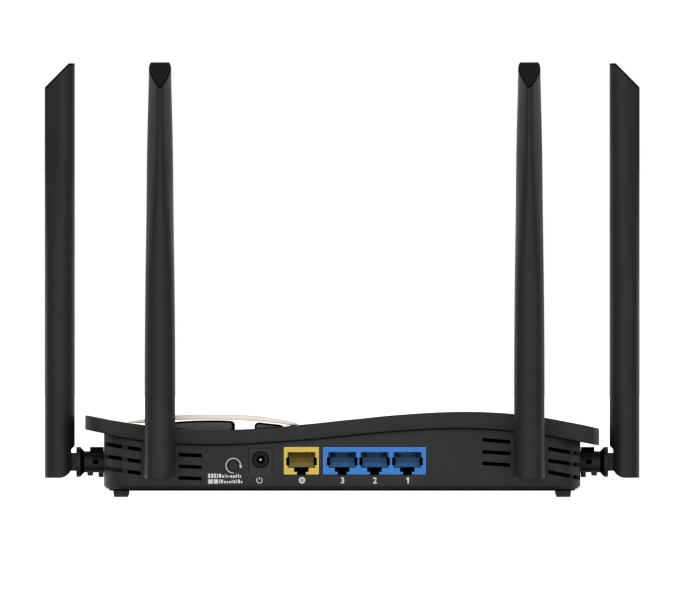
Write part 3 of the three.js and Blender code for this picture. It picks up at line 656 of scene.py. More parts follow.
def lower_case():
    gap = 0.42

    def rim(dz):
        return lambda x, y: SEAM(x) - fall(y) + dz + (gap - 0.03) * smooth((abs(x) - 96.5) / 4.5)

    rings = [lifted(body_plan(2.0), 4.65)]
    rings += [lifted(body_plan(2.0), seam_z(-gap - 1.6))]
    rings += [lifted(body_plan(4.0), seam_z(-gap - 1.0))]  # dust lip that stands inside the cover
    rings += [lifted(body_plan(4.0), seam_z(1.3)), lifted(body_plan(3.8), seam_z(1.5)), lifted(body_plan(3.1), seam_z(1.5)), lifted(body_plan(2.9), seam_z(1.3))]
    rings += [lifted(body_plan(2.9), seam_z(-gap - 0.45)), lifted(body_plan(1.9), seam_z(-gap - 0.45))]
    rings += [lifted(body_plan(1.8), seam_z(-gap - 0.1)), lifted(body_plan(1.65), rim(-gap))]
    rings += [lifted(body_plan(0.22), rim(-gap)), lifted(body_plan(0.07), rim(-gap - 0.07)), lifted(body_plan(0.0), rim(-gap - 0.22))]
    for off, z in ((0.0, 5.0), (0.04, 4.85), (0.14, 4.68), (1.16, 3.62), (1.26, 3.5), (2.2, 3.46), (2.2, 2.95), (2.4, 2.74), (2.7, 2.74)):
        rings.append(lifted(body_plan(off), z))
    o = loft("case_tub", rings)

    bosses = [rod("b", 4.4, 8.6, 4.0, 32, "z", (x, y, 0), 0.3) for x in (-84, 84) for y in (-34, 56)]
    bosses += [rod("b", 4.4, 7.5, 2.6, 28, "z", (x, y, 0), 0.25) for x in (-54, 54) for y in (-30, 31)]
    boolean(o, joined("bosses", bosses), "UNION")

    cut = []
    for x in (-84, 84):
        for y in (-34, 56):
            cut.append(lathe("c", [(0, 0), (0, 3.1), (5.6, 3.1), (5.6, 1.9), (12, 1.9), (12, 0)], 36, "z", (x, y, 0)))
    for x, y in FEET:
        cut.append(prism("c", oblong(3.3 + 0.3, 3.2, 16), -2, 3.4, "z", (x, y, 0)))
    cut.append(prism("c", rounded([(-32, -8), (32, -8), (32, 34), (-32, 34)], 2.0, 5), 0, 3.15, "z"))
    for i in range(4):
        for s in (-1, 1):
            a, b = sorted((s * (60 - i * 7), s * (57 - i * 7)))
            cut.append(prism("c", rounded([(a, -6), (b, -6), (b, 22), (a, 22)], 1.4, 5), 0, 7, "z"))
    g = 0.25
    cut.append(prism("c", rect(-25.04 - g, -9.99 + g, 9.78 - g, 21.6 + g, 0.3), BY0 - 2, BY0 + 3))
    cut.append(prism("c", rect(-8.28 - g, 35.98 + g, 9.78 - g, 21.6 + g, 0.3), BY0 - 2, BY0 + 3))
    cut.append(prism("c", rect(-39.9 - g, -30.2 + g, 9.56 - 0.05, 20.9 + g, 0.3), BY0 - 2, BY0 + 3))
    cut.append(lathe("c", [(BY0 - 2, 0), (BY0 - 2, 2.3), (BY0 + 4, 2.3), (BY0 + 4, 0)], 48, "y", (-46.66, 0, 13.5)))
    cut.append(prism("c", rect(-7 - g, 7 + g, 11.6 - g, 13.2 + g, 0.5, 4), BY1 - 4, BY1 + 2))
    for xa, xb, za, zb in REAR_SLOTS:
        cut.append(prism("c", rounded([(xa, za - 0.8), (xb, zb - 0.8), (xb, zb + 0.8), (xa, za + 0.8)], 0.3), BY0 - 1, BY0 + 3))
    for xa, xb, za, zb in CORNER_SLOTS:
        cut.append(prism("c", rounded([(xa, za - 0.85), (xb, zb - 0.85), (xb, zb + 0.85), (xa, za + 0.85)], 0.3), BY0 - 1, -40))
    hole = 4.85
    for a, b in ((-BX - 2, -BX + 3), (BX - 3, BX + 2)):
        cut.append(lathe("c", [(a, 0), (a, hole), (b, hole), (b, 0)], 56, "x", (0, SIDE_Y, AX_Z)))
    for x in (REAR_XL, REAR_XR):
        cut.append(lathe("c", [(BY0 - 2, 0), (BY0 - 2, hole), (BY0 + 3, hole), (BY0 + 3, 0)], 56, "y", (x, 0, AX_Z)))
    boolean(o, joined("cuts", cut))
    # upright webs that close the corner slots a little way in
    webs = [block("w", -94.4, -91.9, -58.3, -56.0, 5.5, SEAM(-93) - 1.6), block("w", 97.6, 99.3, -53.9, -51.4, 5.5, SEAM(98.4) - 1.6)]
    boolean(o, joined("webs", webs), "UNION")
    shelf = loft("s", [lifted(body_plan(0.9), 9.4), lifted(body_plan(0.9), 14.2)])
    boolean(shelf, loft("c", [lifted(body_plan(2.2), 9.0), lifted(body_plan(2.2), 14.6)]))
    boolean(shelf, block("c", -104, -94.6, -66, -42, 9, 15), "INTERSECT")
    boolean(o, shelf, "UNION")
    piece(o, "case", "case", "lower_case", angle=30)
    # painted shade: dark grey on the corner-slot webs and near-black on the shelf behind the third corner slot
    region(o, "shade", lambda x, y, z, n: 5.4 < z < 24 and ((-94.5 < x < -91.8 and -58.4 < y < -55.9) or (97.5 < x < 99.4 and -54.0 < y < -51.3)))
    region(o, "dark", lambda x, y, z, n: x < -94.4 and y < -41.9 and 9.4 < z < 14.3 and 0.5 < BR - math.hypot(x + BX - BR, min(y - BY0 - BR, 0.0)) < 1.3)
    # painted shadow: near-black along the groove round the bottom of the case
    region(o, "painted_deep_shade", lambda x, y, z, n: z < 3.52 and abs(n.z) < 0.99 and (abs(x) > 90 or y < BY0 + 6 or y > BY1 - 6))
    return o


def oblong(r, half, seg=14):
    pts = [(r * math.cos(math.pi + math.pi * i / seg), -half + r * math.sin(math.pi + math.pi * i / seg)) for i in range(seg + 1)]
    return pts + [(r * math.cos(math.pi * i / seg), half + r * math.sin(math.pi * i / seg)) for i in range(seg + 1)]


FEET = [(-95.0, 60), (95.0, 60), (-95.0, -41), (95.0, -41)]
SIDE_Y, REAR_XL, REAR_XR = -28.0, -78.0, 80.1
REAR_SLOTS = [
    (-70.2, -60.2, 18.3, 17.85), (-70.2, -60.2, 13.3, 12.85), (-70.2, -60.2, 8.35, 7.95),
    (60.1, 72.2, 24.7, 23.7), (60.1, 72.2, 19.5, 18.75), (60.1, 72.2, 14.6, 13.75)]
CORNER_SLOTS = [
    (-104, -86.2, 23.2, 20.4), (-104, -86.2, 17.95, 15.25), (-104, -86.2, 12.9, 10.2),
    (88.3, 104, 20.9, 18.1), (88.3, 104, 15.8, 13.35), (88.3, 104, 10.9, 7.8)]


# =====================================================================
# top cover
# =====================================================================
def cover_plan(off):
    return plan(-CX + off, CX - off, CY0 + off, CY1 - off, CR - off, nx=120, nc=12)


def top_cover():
    def pocket(off):
        return plan(-99.4 + off, 99.4 - off, -58.65 + off, 79.4 - off, 13.4 - off, nx=120, nc=12)

    rings = [lifted(pocket(0.6), top_z(-2.4)), lifted(pocket(0.15), top_z(-2.6)), lifted(pocket(0.0), top_z(-3.0))]
    rings += [lifted(pocket(0.0), seam_z(0.15)), lifted(pocket(-0.15), seam_z(0.0))]
    rings += [lifted(cover_plan(0.32), seam_z(0.0)), lifted(cover_plan(0.1), seam_z(0.09)), lifted(cover_plan(0.0), seam_z(0.34))]
    r = 0.36
    for k in range(5):
        a = math.pi / 2 * k / 4
        rings.append(lifted(cover_plan(r * (1 - math.cos(a))), top_z(-r + r * math.sin(a))))
    o = loft("cover_shell", rings)
    posts = []
    for x in (-84, 84):
        for y in (-34, 56):
            zt = TOP(x) - fall(y) - 1.0
            # a hollow post: outer wall up to the skin, screw bore from below
            posts.append(lathe("p", [(18.5, 0), (18.5, 1.45), (8.9, 1.45), (8.9, 3.1), (9.2, 3.4), (zt, 3.6), (zt, 0)], 36, "z", (x, y, 0)))
    boolean(o, joined("posts", posts), "UNION")
    cut = [rod("c", 22, 40, 1.5, 28, "z", (x, y, 0)) for x in (-78.2, -21.4) for y in (-40, 8, 60)]
    cut.append(prism("c", rounded([(-69, -48), (-50, -48), (-50, 64), (-69, 64)], 2, 4), 20, 40, "z"))
    cut.append(prism("c", rounded([(-35.5, -48), (-28, -48), (-28, 64), (-35.5, 64)], 2, 4), 20, 40, "z"))
    boolean(o, joined("cuts", cut))
    piece(o, "cover", "case", "top_cover", angle=30)
    # painted shade over the rounded rear top edge near the panels, turning its highlight into a dark line
    region(o, "dark", lambda x, y, z, n: 0.2 < n.z and y < CY0 + 0.4 and -92 < x < 8 and z > TOP(x) - 0.7)
    return o


# =====================================================================
# champagne bridge plate and the smoked panels below it
# =====================================================================
PLATE_TOP = herm([
    (-92.0, 32.25), (-86.7, 32.85), (-80.0, 33.85), (-75.0, 34.45), (-70.4, 34.75), (-66.0, 34.9), (-61.0, 34.95), (-53.0, 34.95),
    (-45.5, 34.9), (-41.0, 34.72), (-37.0, 34.45), (-31.0, 33.67), (-26.7, 32.95), (-22.4, 32.23), (-19.0, 31.45)])
PLATE_BOTTOM = herm([
    (-92.0, 32.1), (-86.7, 31.7), (-80.0, 32.45), (-75.0, 32.9), (-70.4, 33.15), (-66.0, 33.3), (-61.0, 33.35), (-53.0, 33.33),
    (-45.5, 33.1), (-41.0, 32.85), (-37.0, 32.6), (-31.0, 31.93), (-26.7, 31.27), (-22.4, 30.84), (-19.0, 31.19)])


def bridge_plate():
    y0, y1 = -60.6, 80.0

    def ring(off, which, dz):
        out = []
        for x, y in plan(-92.0 + off, -19.0 - off, y0 + off, y1 - off, 2.4 - off, nx=72, nc=10):
            k = smooth(min(x + 91, -20 - x) / 7.0)
            t, b = PLATE_TOP(x) + 0.2 + 0.28 * k, PLATE_BOTTOM(x) + 0.34 * k - 0.3 * smooth(min(x + 88, -26 - x) / 8)
            e = min(1.0, (t - b) / 0.9)  # the thin ends take a finer edge
            z = (t if which else b) + dz * e
            out.append((x, y, z - fall(y)))
        return out

    rings = [ring(0.45, 0, 0), ring(0.3, 0, 0.0), ring(0.09, 0, 0.09), ring(0.0, 0, 0.3),
             ring(0.0, 1, -0.4), ring(0.05, 1, -0.2), ring(0.2, 1, -0.05), ring(0.4, 1, 0), ring(0.7, 1, 0)]
    o = loft("bridge_cover_plate", rings)
    pegs = []
    for x in (-78.2, -21.4):
        for y in (-40, 8, 60):
            pegs.append(rod("p", TOP(x) - fall(y) - 3.2, PLATE_BOTTOM(x) - fall(y) + 0.8, 1.15, 24, "z", (x, y, 0), 0.2))
    boolean(o, joined("pegs", pegs), "UNION")
    return piece(o, "plate", "case", "bridge_plate", angle=40)


def vent_panel(name, node, top, slot_x, y0=-60.9, y1=76.0):
    xa, xb = top[0][0], top[-1][0]
    n = 14
    under = [(xa + (xb - xa) * i / n, TOP(xa + (xb - xa) * i / n) + 0.03) for i in range(n + 1)]
    top = [(x, z + 0.34 * smooth(min(x - xa, xb - x) / 1.5)) for x, z in top]
    poly = under + list(reversed(top))

    def inset(d):
        # the polygon pulled in by d, for the rounded rear and front edges
        out = []
        m = len(poly)
        for i in range(m):
            a, v, b = Vector(poly[i - 1]), Vector(poly[i]), Vector(poly[(i + 1) % m])
            u, w = (v - a).normalized(), (b - v).normalized()
            nu, nw = Vector((-u[1], u[0])), Vector((-w[1], w[0]))
            k = nu + nw
            k = k / max(0.35, k.length_squared / 2)
            out.append((v[0] + k[0] * d, v[1] + k[1] * d))
        return out

    rings = []
    for off, y in ((0.28, y0), (0.09, y0 + 0.07), (0.0, y0 + 0.28), (0.0, y1 - 0.28), (0.09, y1 - 0.07), (0.28, y1)):
        rings.append([(x, y, z - fall(y)) for x, z in inset(off)])
    verts = [p for r in rings for p in r]
    m = len(poly)
    faces = []
    for k in range(len(rings) - 1):
        faces += [(k * m + i, k * m + (i + 1) % m, (k + 1) * m + (i + 1) % m, (k + 1) * m + i) for i in range(m)]
    faces += [tuple(range(m)), tuple(range(len(verts) - m, len(verts)))]
    o = build(name, verts, faces)
    a, b = slot_x
    cuts = [prism("c", rounded([(a, -44 + i * 13), (b, -44 + i * 13), (b, -39.5 + i * 13), (a, -39.5 + i * 13)], 1.2, 4), 20, 40, "z") for i in range(8)]
    boolean(o, joined("cuts", cuts))
    # the panel body is painted near-black as shade, so its rounded rim reads as a dark outline round the smoked face
    piece(o, "painted_deep_shade", "case", node, angle=35)
    # the smoked face stands a hair proud of the surround, whose near-black is painted shade
    tops = [q for q in inset(0.92)[n + 1:] if q[1] > TOP(q[0]) + 0.16]
    left, right = min(q[0] for q in tops), max(q[0] for q in tops)
    base = [(left + (right - left) * i / n, TOP(left + (right - left) * i / n) + 0.08) for i in range(n + 1)]
    f = prism(name + "_face", base + [q for q in tops if q[0] < right - 0.01 or q[1] > base[-1][1] + 0.05], y0 - 0.15, y0 + 1.0)
    # a low grey strip under the face: painted shade laid over the reflection on the cover's edge below the panel
    strip = [(x, z - 0.06) for x, z in base] + [(x, z + 0.14) for x, z in reversed(base)]
    piece(prism(name + "_painted_shade_strip", strip, CY0 + 0.25, y0 - 0.17), "painted_shade_strip", "case", angle=35)
    return piece(f, "panel", "case", angle=35)


PANEL_A = [(-72.4, 31.4), (-72.3, 31.95), (-71.6, 32.12), (-70.4, 32.2), (-67.0, 32.42), (-63.5, 32.6), (-58.0, 32.7), (-53.0, 32.7), (-49.6, 32.6),
           (-48.0, 32.5), (-47.3, 32.3), (-46.8, 31.95), (-46.6, 31.6), (-46.5, 31.2)]
PANEL_B = [(-37.6, 30.9), (-37.35, 31.35), (-36.9, 31.7), (-36.1, 31.85), (-34.5, 31.72), (-32.7, 31.5), (-29.2, 31.15), (-27.2, 30.92), (-25.6, 30.74)]


# =====================================================================
# feet, screws, label, light bar
# =====================================================================
def foot(name, node, x, y):
    rings = []
    for r, z in ((2.85, 0.0), (2.97, 0.05), (3.05, 0.22), (3.4, 2.6), (3.4, 3.0), (3.2, 3.05)):
        pts = oblong(r, 3.2, 16)
        rings.append([(x + a, y + b, z) for a, b in pts])
    o = loft(name, rings)
    # shallow wave of grip ridges under the pad
    cuts = [prism("c", [(-3.2, -0.14), (3.2, -0.14), (3.2, 0.14), (-3.2, 0.14)], -0.5, 0.22, "z", (x, y - 4 + i * 1.0, 0)) for i in range(9)]
    boolean(o, joined("cuts", cuts))
    return piece(o, "rubber", "case", node, angle=35)


def screw(name, node, x, y):
    o = lathe(name, turned([(3.4, 0), (3.4, 1.9), (3.9, 2.7), (5.3, 2.7), (5.3, 1.2), (16.4, 1.2), (17.5, 0)], 0.15), 36, "z", (x, y, 0))
    # coarse thread as stacked ridges
    ridges = [lathe("r", [(z, 1.1), (z + 0.3, 1.36), (z + 0.6, 1.1)], 28, "z", (x, y, 0)) for z in [6.2 + 1.05 * i for i in range(9)]]
    for rr in ridges:
        boolean(o, rr, "UNION")
    cross = [prism("c", rounded([(-1.6, -0.3), (1.6, -0.3), (1.6, 0.3), (-1.6, 0.3)], 0.12, 2), 3, 4.3, "z", (x, y, 0))]
    boolean(o, cross[0])
    boolean(o, prism("c", rounded([(-0.3, -1.6), (0.3, -1.6), (0.3, 1.6), (-0.3, 1.6)], 0.12, 2), 3, 4.3, "z", (x, y, 0)))
    return piece(o, "steel", "case", node, angle=30)


def label():
    rings = []
    for off, z in ((0.5, 2.7), (0.12, 2.7), (0.0, 2.77), (0.0, 2.95)):
        rings.append(lifted(plan(-31.6 + off, 31.6 - off, -7.6 + off, 33.6 - off, 1.8 - off, nx=20, nc=6), z))
    return piece(loft("underside_label", rings), "label", "case", "blank_label")


def light_bar():
    # rounded front window with the flat guide behind it
    z0, z1 = 11.6, 13.2
    y1 = BY1
    o = prism("front_light_pipe", rounded([(-7, 70), (-2, 36.2), (2, 36.2), (7, 70), (7, y1 - 0.3), (6.6, y1), (-6.6, y1), (-7, y1 - 0.3)], 0.25, 3), z0, z1, "z")
    bevel(o, 0.3, 2, 50)
    return piece(o, "light", "case", "light_pipe")


# =====================================================================
# sockets
# =====================================================================
PORT_Z0, PORT_Z1 = 9.78, 21.6


def socket_cuts(cx, groups, lo=17.0):
    """The plug opening of one socket with its shoulders, latch way and comb."""
    y = BY0
    yield prism("c", rounded([(cx - 6.0, 12.56), (cx - 3.0, 12.5), (cx + 3.0, 12.5), (cx + 6.0, 12.56), (cx + 6.0, 19.4), (cx - 6.0, 19.4)], [0.15, 0, 0, 0.15, 0.15, 0.15], 2), y - 1, y + 5.2)
    # stepped back wall: lower shelf, upper shelf, comb
    yield block("c", cx - 5.9, cx + 5.9, y + 4.8, y + 7.9, 12.62, 14.9)
    yield block("c", cx - 5.88, cx + 5.88, y + 4.81, y + 8.6, 14.8, 19.2)
    for s in (-1, 1):
        a, b = sorted((cx + s * 5.2, cx + s * 6.62))
        yield prism("c", rect(a, b, 13.68, 17.1, 0.12, 2), y - 1.1, y + 10.5)
    yield prism("c", rect(cx - 3.2, cx + 3.1, 10.88, 12.9, 0.12, 2), y - 1.2, y + 11)
    yield prism("c", rect(cx - 1.95, cx + 1.95, 8.9, 11.2, 0.0), y - 1.3, y + 11.2)
    for dx in groups:
        yield block("c", cx + dx - 0.24, cx + dx + 0.24, y + 3.0, y + 13.5, lo, 19.36)


def chamfer_cut(cx):
    """A fine lead-in round the opening."""
    y = BY0
    a = [(cx - 6.25, 12.31), (cx + 6.25, 12.31), (cx + 6.25, 19.65), (cx - 6.25, 19.65)]
    b = [(cx - 5.95, 12.6), (cx + 5.95, 12.6), (cx + 5.95, 19.36), (cx - 5.95, 19.36)]
    verts = [(x, y - 0.1, z) for x, z in a] + [(x, y + 0.3, z) for x, z in b]
    faces = [(0, 1, 2, 3), (4, 5, 6, 7)] + [(i, (i + 1) % 4, 4 + (i + 1) % 4, 4 + i) for i in range(4)]
    return build("c", verts, faces)


def socket_block(name, node, x0, x1, mat, ports, lo=17.0):
    y = BY0
    o = prism(name, rect(x0, x1, PORT_Z0, PORT_Z1, 0.25, 2), y, y + 16.5)
    for cx, groups in ports:
        for c in socket_cuts(cx, groups, lo):
            boolean(o, c)
    piece(o, mat, "case", node, angle=28)
    # painted shade inside the sockets: darker socket colour on the inner walls, darker again higher up, near-black in
    # the latch way, shoulder slots and comb slots
    spots = [cx + g for cx, groups in ports for g in groups]
    inside = y + 0.12
    region(o, mat + "_mid", lambda x, yy, z, n: yy > inside and any(abs(x - cx) < 6.7 for cx, _g in ports))
    region(o, mat + "_low", lambda x, yy, z, n: yy > inside and z > 16.6 and any(abs(x - cx) < 6.1 for cx, _g in ports))
    region(o, "painted_deep_shade", lambda x, yy, z, n: yy > inside and (
        (z < 12.45 and any(abs(x - cx) < 3.3 for cx, _g in ports))
        or (13.6 < z < 17.15 and any(5.85 < abs(x - cx) < 6.7 for cx, _g in ports))
        or (z > 16.6 and yy > y + 8.6 and any(abs(x - q) < 0.3 for q in spots))
        or (z > 16.6 and abs(n.x) > 0.9 and any(abs(abs(x - q) - 0.24) < 0.02 for q in spots))))
    return o


def contacts(name, node, cx):
    """Eight spring wires that slope back and down from the comb."""
    y = BY0
    parts = []
    for i in range(8):
        x = cx + (i - 3.5) * 1.02
        pts = [(y + 3.4, 18.95), (y + 4.2, 18.7), (y + 6.6, 17.35), (y + 7.4, 17.0)]
        prof, r = [], 0.17
        n = 10
        verts, faces = [], []
        for k, (yy, zz) in enumerate(pts):
            a = pts[min(k + 1, len(pts) - 1)]
            b = pts[max(k - 1, 0)]
            d = Vector((0, a[0] - b[0], a[1] - b[1])).normalized()
            up = Vector((0, -d[2], d[1]))
            for j in range(n):
                t = 2 * math.pi * j / n
                q = Vector((x, yy, zz)) + Vector((1, 0, 0)) * (r * math.cos(t)) + up * (r * math.sin(t))
                verts.append(tuple(q))
        for k in range(len(pts) - 1):
            faces += [(k * n + j, k * n + (j + 1) % n, (k + 1) * n + (j + 1) % n, (k + 1) * n + j) for j in range(n)]
        faces += [tuple(range(n)), tuple(range(len(verts) - n, len(verts)))]
        parts.append(build("w", verts, faces))
    o = joined(name, parts)
    return piece(o, "gold", "case", node, angle=40)


def power_inlet():
    x0, x1, z0, z1, cx, cz, r = -39.9, -30.2, 9.56, 20.9, -35.0, 16.1, 3.45
    y = BY0
    o = prism("power_inlet_body", rect(x0, x1, z0, z1, 0.2, 2), y, y + 13.5)
    # bore with a soft mouth, then the deeper ring round the pin
    boolean(o, lathe("c", turned([(y - 0.5, 0), (y - 0.5, r + 0.35), (y + 0.02, r + 0.32), (y + 0.42, r - 0.1), (y + 4.2, r - 0.14), (y + 4.2, 0)], [0, 0, 0.1, 0.2, 0.1, 0]), 64, "y", (cx, 0, cz)))
    boolean(o, lathe("c", [(y + 4.0, 0), (y + 4.0, 1.75), (y + 11, 1.75), (y + 11, 0)], 48, "y", (cx, 0, cz)))
    # parting line round the mouth: a groove, darkened further by the painted shade given to the mouth
    boolean(o, lathe("c", [(y + 0.55, 2.0), (y + 0.55, r + 0.12), (y + 1.2, r + 0.12), (y + 1.2, 2.0)], 64, "y", (cx, 0, cz)))
    piece(o, "inlet", "case", "power_inlet", angle=30)
    prof = [(y + 10.6, 0), (y + 10.6, 1.02), (y + 2.3, 1.02)]
    for k in range(1, 5):
        a = math.pi / 2 * k / 4
        prof.append((y + 2.3 - 0.45 * math.sin(a), 1.02 - 0.42 * (1 - math.cos(a))))
    prof += [(y + 1.8, 0.42), (y + 1.77, 0.22), (y + 1.76, 0)]
    p = lathe("power_inlet_centre_pin", prof, 40, "y", (cx, 0, cz))
    # the pin is painted near-black as shade in the bore; only its tip keeps the plated steel
    piece(p, "dark", "case", "power_inlet_pin", angle=40)
    region(p, "steel", lambda x, yy, z, n: yy < y + 1.9 and math.hypot(x - cx, z - cz) < 0.5)
    # painted shade: dark grey in the mouth of the bore, near-black deeper in round the pin
    region(o, "shade", lambda x, yy, z, n: yy > y + 0.02 and math.hypot(x - cx, z - cz) < 3.9)
    region(o, "painted_deep_shade", lambda x, yy, z, n: yy > y + 4.3 and math.hypot(x - cx, z - cz) < 1.8)


def reset_button():
    x, z, r, y = -46.66, 13.5, 2.0, BY0
    prof = [(y + 0.34, 0), (y + 0.3, 0.6), (y + 0.2, 1.2), (y + 0.1, 1.72), (y + 0.1, 1.86), (y + 0.16, 1.96), (y + 0.3, r), (y + 2.25, r), (y + 2.25, 3.0), (y + 3.2, 3.0), (y + 3.2, 1.0), (y + 4.4, 1.0), (y + 4.4, 0)]
    o = lathe("reset_button_cap", prof, 56, "y", (x, 0, z))
    return piece(o, "button", "reset_button", "reset_button", angle=32)


# =====================================================================
# antennas, knuckles and pins
# =====================================================================
ANT_BACK, ANT_DEPTH, ANT_TOP, ANT_BOTTOM = 13.0, 12.9, 186.4, 8.1
FOLD_X = 19.3
HALF_TOP = herm([(0, 0.26), (0.3, 0.4), (0.8, 0.565), (1.3, 0.685), (1.8, 0.77), (2.54, 0.86), (3.5, 0.95), (4.7, 1.0), (6.0, 0.958), (7.5, 0.83), (8.96, 0.665), (10.2, 0.515),
                 (11.4, 0.355), (12.2, 0.235), (12.65, 0.15), (12.9, 0.07)])
HALF_LOW = herm([(0, 0.16), (0.15, 0.25), (0.4, 0.36), (0.9, 0.5), (1.3, 0.6), (1.7, 0.675), (2.2, 0.75), (2.6, 0.8), (3.0, 0.84), (3.5, 0.886), (4.3, 0.94), (5.2, 0.98),
                 (6.4, 1.0), (7.2, 0.992), (7.9, 0.97), (8.6, 0.93), (9.5, 0.865), (10.3, 0.78), (10.8, 0.71), (11.3, 0.64), (11.8, 0.545), (12.2, 0.44), (12.55, 0.32),
                 (12.8, 0.18), (12.9, 0.06)])
WIDTH = herm([(0, 13.12), (33, 13.12), (54.6, 13.02), (76, 12.72), (97.5, 12.32), (118.9, 11.72), (140.3, 11.17), (153.2, 10.62), (161.8, 10.17), (170.4, 9.77), (179, 9.52)])


def half_width(d, z):
    w = smooth((z - 82.0) / (158.0 - 82.0))
    return WIDTH(z - ANT_BOTTOM) / 2 * (HALF_LOW(d) * (1 - w) + HALF_TOP(d) * w)


def antenna_sleeve():
    """Almond section, widest near the back at the top and near the middle below, cut at 45 degrees above and with a round heel below."""
    def z_top(d):
        return ANT_TOP - max(0.0, d - 2.54)

    def z_low(d):
        if d < 6.6:
            dd = min(6.6 - d, 5.1)
            return ANT_BOTTOM + 5.3 - math.sqrt(max(0.0, 5.3 ** 2 - dd * dd))
        return ANT_BOTTOM

    ds = [0, 0.12, 0.35, 0.7, 1.15, 1.6, 2.1, 2.45, 2.65, 3.1, 3.7, 4.3, 5.0, 5.7, 6.4, 7.2, 8.0, 8.8, 9.6, 10.3, 10.9, 11.4, 11.8, 12.15, 12.45, 12.68, 12.82, 12.9]
    mid = [26 + (168 - 26) * i / 30 for i in range(31)]
    low_t = [0.1, 0.3, 0.55, 0.8]
    rows = []  # one ring for each station: +y side then -y side

    def ring(fn):
        side = [fn(d) for d in ds]  # (d, h, z)
        return [(ANT_BACK + d, h, z) for d, h, z in side] + [(ANT_BACK + d, -h, z) for d, h, z in reversed(side)]

    e = 0.38

    def inset(d, h, k):
        dd = min(max(d, e * k), ANT_DEPTH - e * k * 0.8)
        return dd, max(h - e * k, h * 0.25)

    def end(k, lift, low):
        def fn(d):
            base = z_low(d) if low else z_top(d)
            h0 = half_width(d, base)
            dd, hh = inset(d, h0, k)
            z = (z_low(dd) + lift) if low else (z_top(dd) - lift)
            return dd, hh, z
        return fn

    rows.append(ring(end(1.0, 0.0, True)))
    rows.append(ring(end(0.45, e * 0.12, True)))
    rows.append(ring(end(0.12, e * 0.45, True)))
    rows.append(ring(end(0.0, e, True)))
    for t in low_t:
        rows.append(ring(lambda d, t=t: (d, half_width(d, 0), z_low(d) + e + (mid[0] - z_low(d) - e) * t)))
    for z in mid:
        rows.append(ring(lambda d, z=z: (d, half_width(d, z), z)))
    for t in (0.2, 0.4, 0.6, 0.8):
        rows.append(ring(lambda d, t=t: (d, half_width(d, mid[-1] + (z_top(d) - 1.05 - mid[-1]) * t), mid[-1] + (z_top(d) - 1.05 - mid[-1]) * t)))
    rows.append(ring(end(0.0, 1.05, False)))
    rows.append(ring(end(0.0, 0.62, False)))
    rows.append(ring(end(0.0, e * 0.95, False)))
    rows.append(ring(end(0.12, e * 0.5, False)))
    rows.append(ring(end(0.45, e * 0.12, False)))
    rows.append(ring(end(1.0, 0.0, False)))
    o = loft("antenna_master", rows)
    # recess behind the neck, with a 45 degree shoulder
    bx = ANT_BACK
    boolean(o, prism("c", rounded([(bx - 3, 4), (bx + 1.5, 4), (bx + 1.5, 20.4), (bx - 0.6, 22.5), (bx - 3, 22.5)], [0, 0, 0.4, 0, 0], 4), -12, 12))
    # radiator chamber, lead way, fork and blind pin seats
    def chamber_ring(z, k=1.0):
        w = half_width(4.5, z) - 1.7
        pts = [(0, 0.6), (1.5, 0.85), (3.0, 1.0), (4.6, 0.95), (6.2, 0.8), (7.8, 0.58), (9.0, 0.3)]
        return [(bx + 1.5 + d, h * w * k, z) for d, h in pts] + [(bx + 1.5 + d, -h * w * k, z) for d, h in reversed(pts)]

    boolean(o, loft("c", [chamber_ring(z) for z in (24.2, 60, 90, 120, 150, 168)]))
    boolean(o, rod("c", 17, 26, 1.5, 24, "z", (bx + 4.6, 0, 0)))
    fr = 7.8 / 2 + 0.45
    fork = [(bx - 3, 4), (FOLD_X + fr, 4), (FOLD_X + fr, AX_Z)]
    fork += [(FOLD_X + fr * math.cos(math.pi / 2 * i / 10), AX_Z + fr * math.sin(math.pi / 2 * i / 10)) for i in range(1, 11)]
    fork += [(bx - 3, AX_Z + fr)]
    boolean(o, prism("c", fork, -2.8, 2.8))
    boolean(o, rod("c", -4.85, 4.85, 1.52, 32, "y", (FOLD_X, 0, AX_Z)))
    return o


def cut_rim(x, y, z, n, band=0.6):
    """The narrow rounding between the slanted cut and the flanks, and the flat on top: the faces painted near-black as
    a shade line.
    """
    d = x - ANT_BACK
    top = ANT_TOP - max(0.0, d - 2.54)
    return z > top - band and not (n.x > 0.69 and n.z > 0.69)


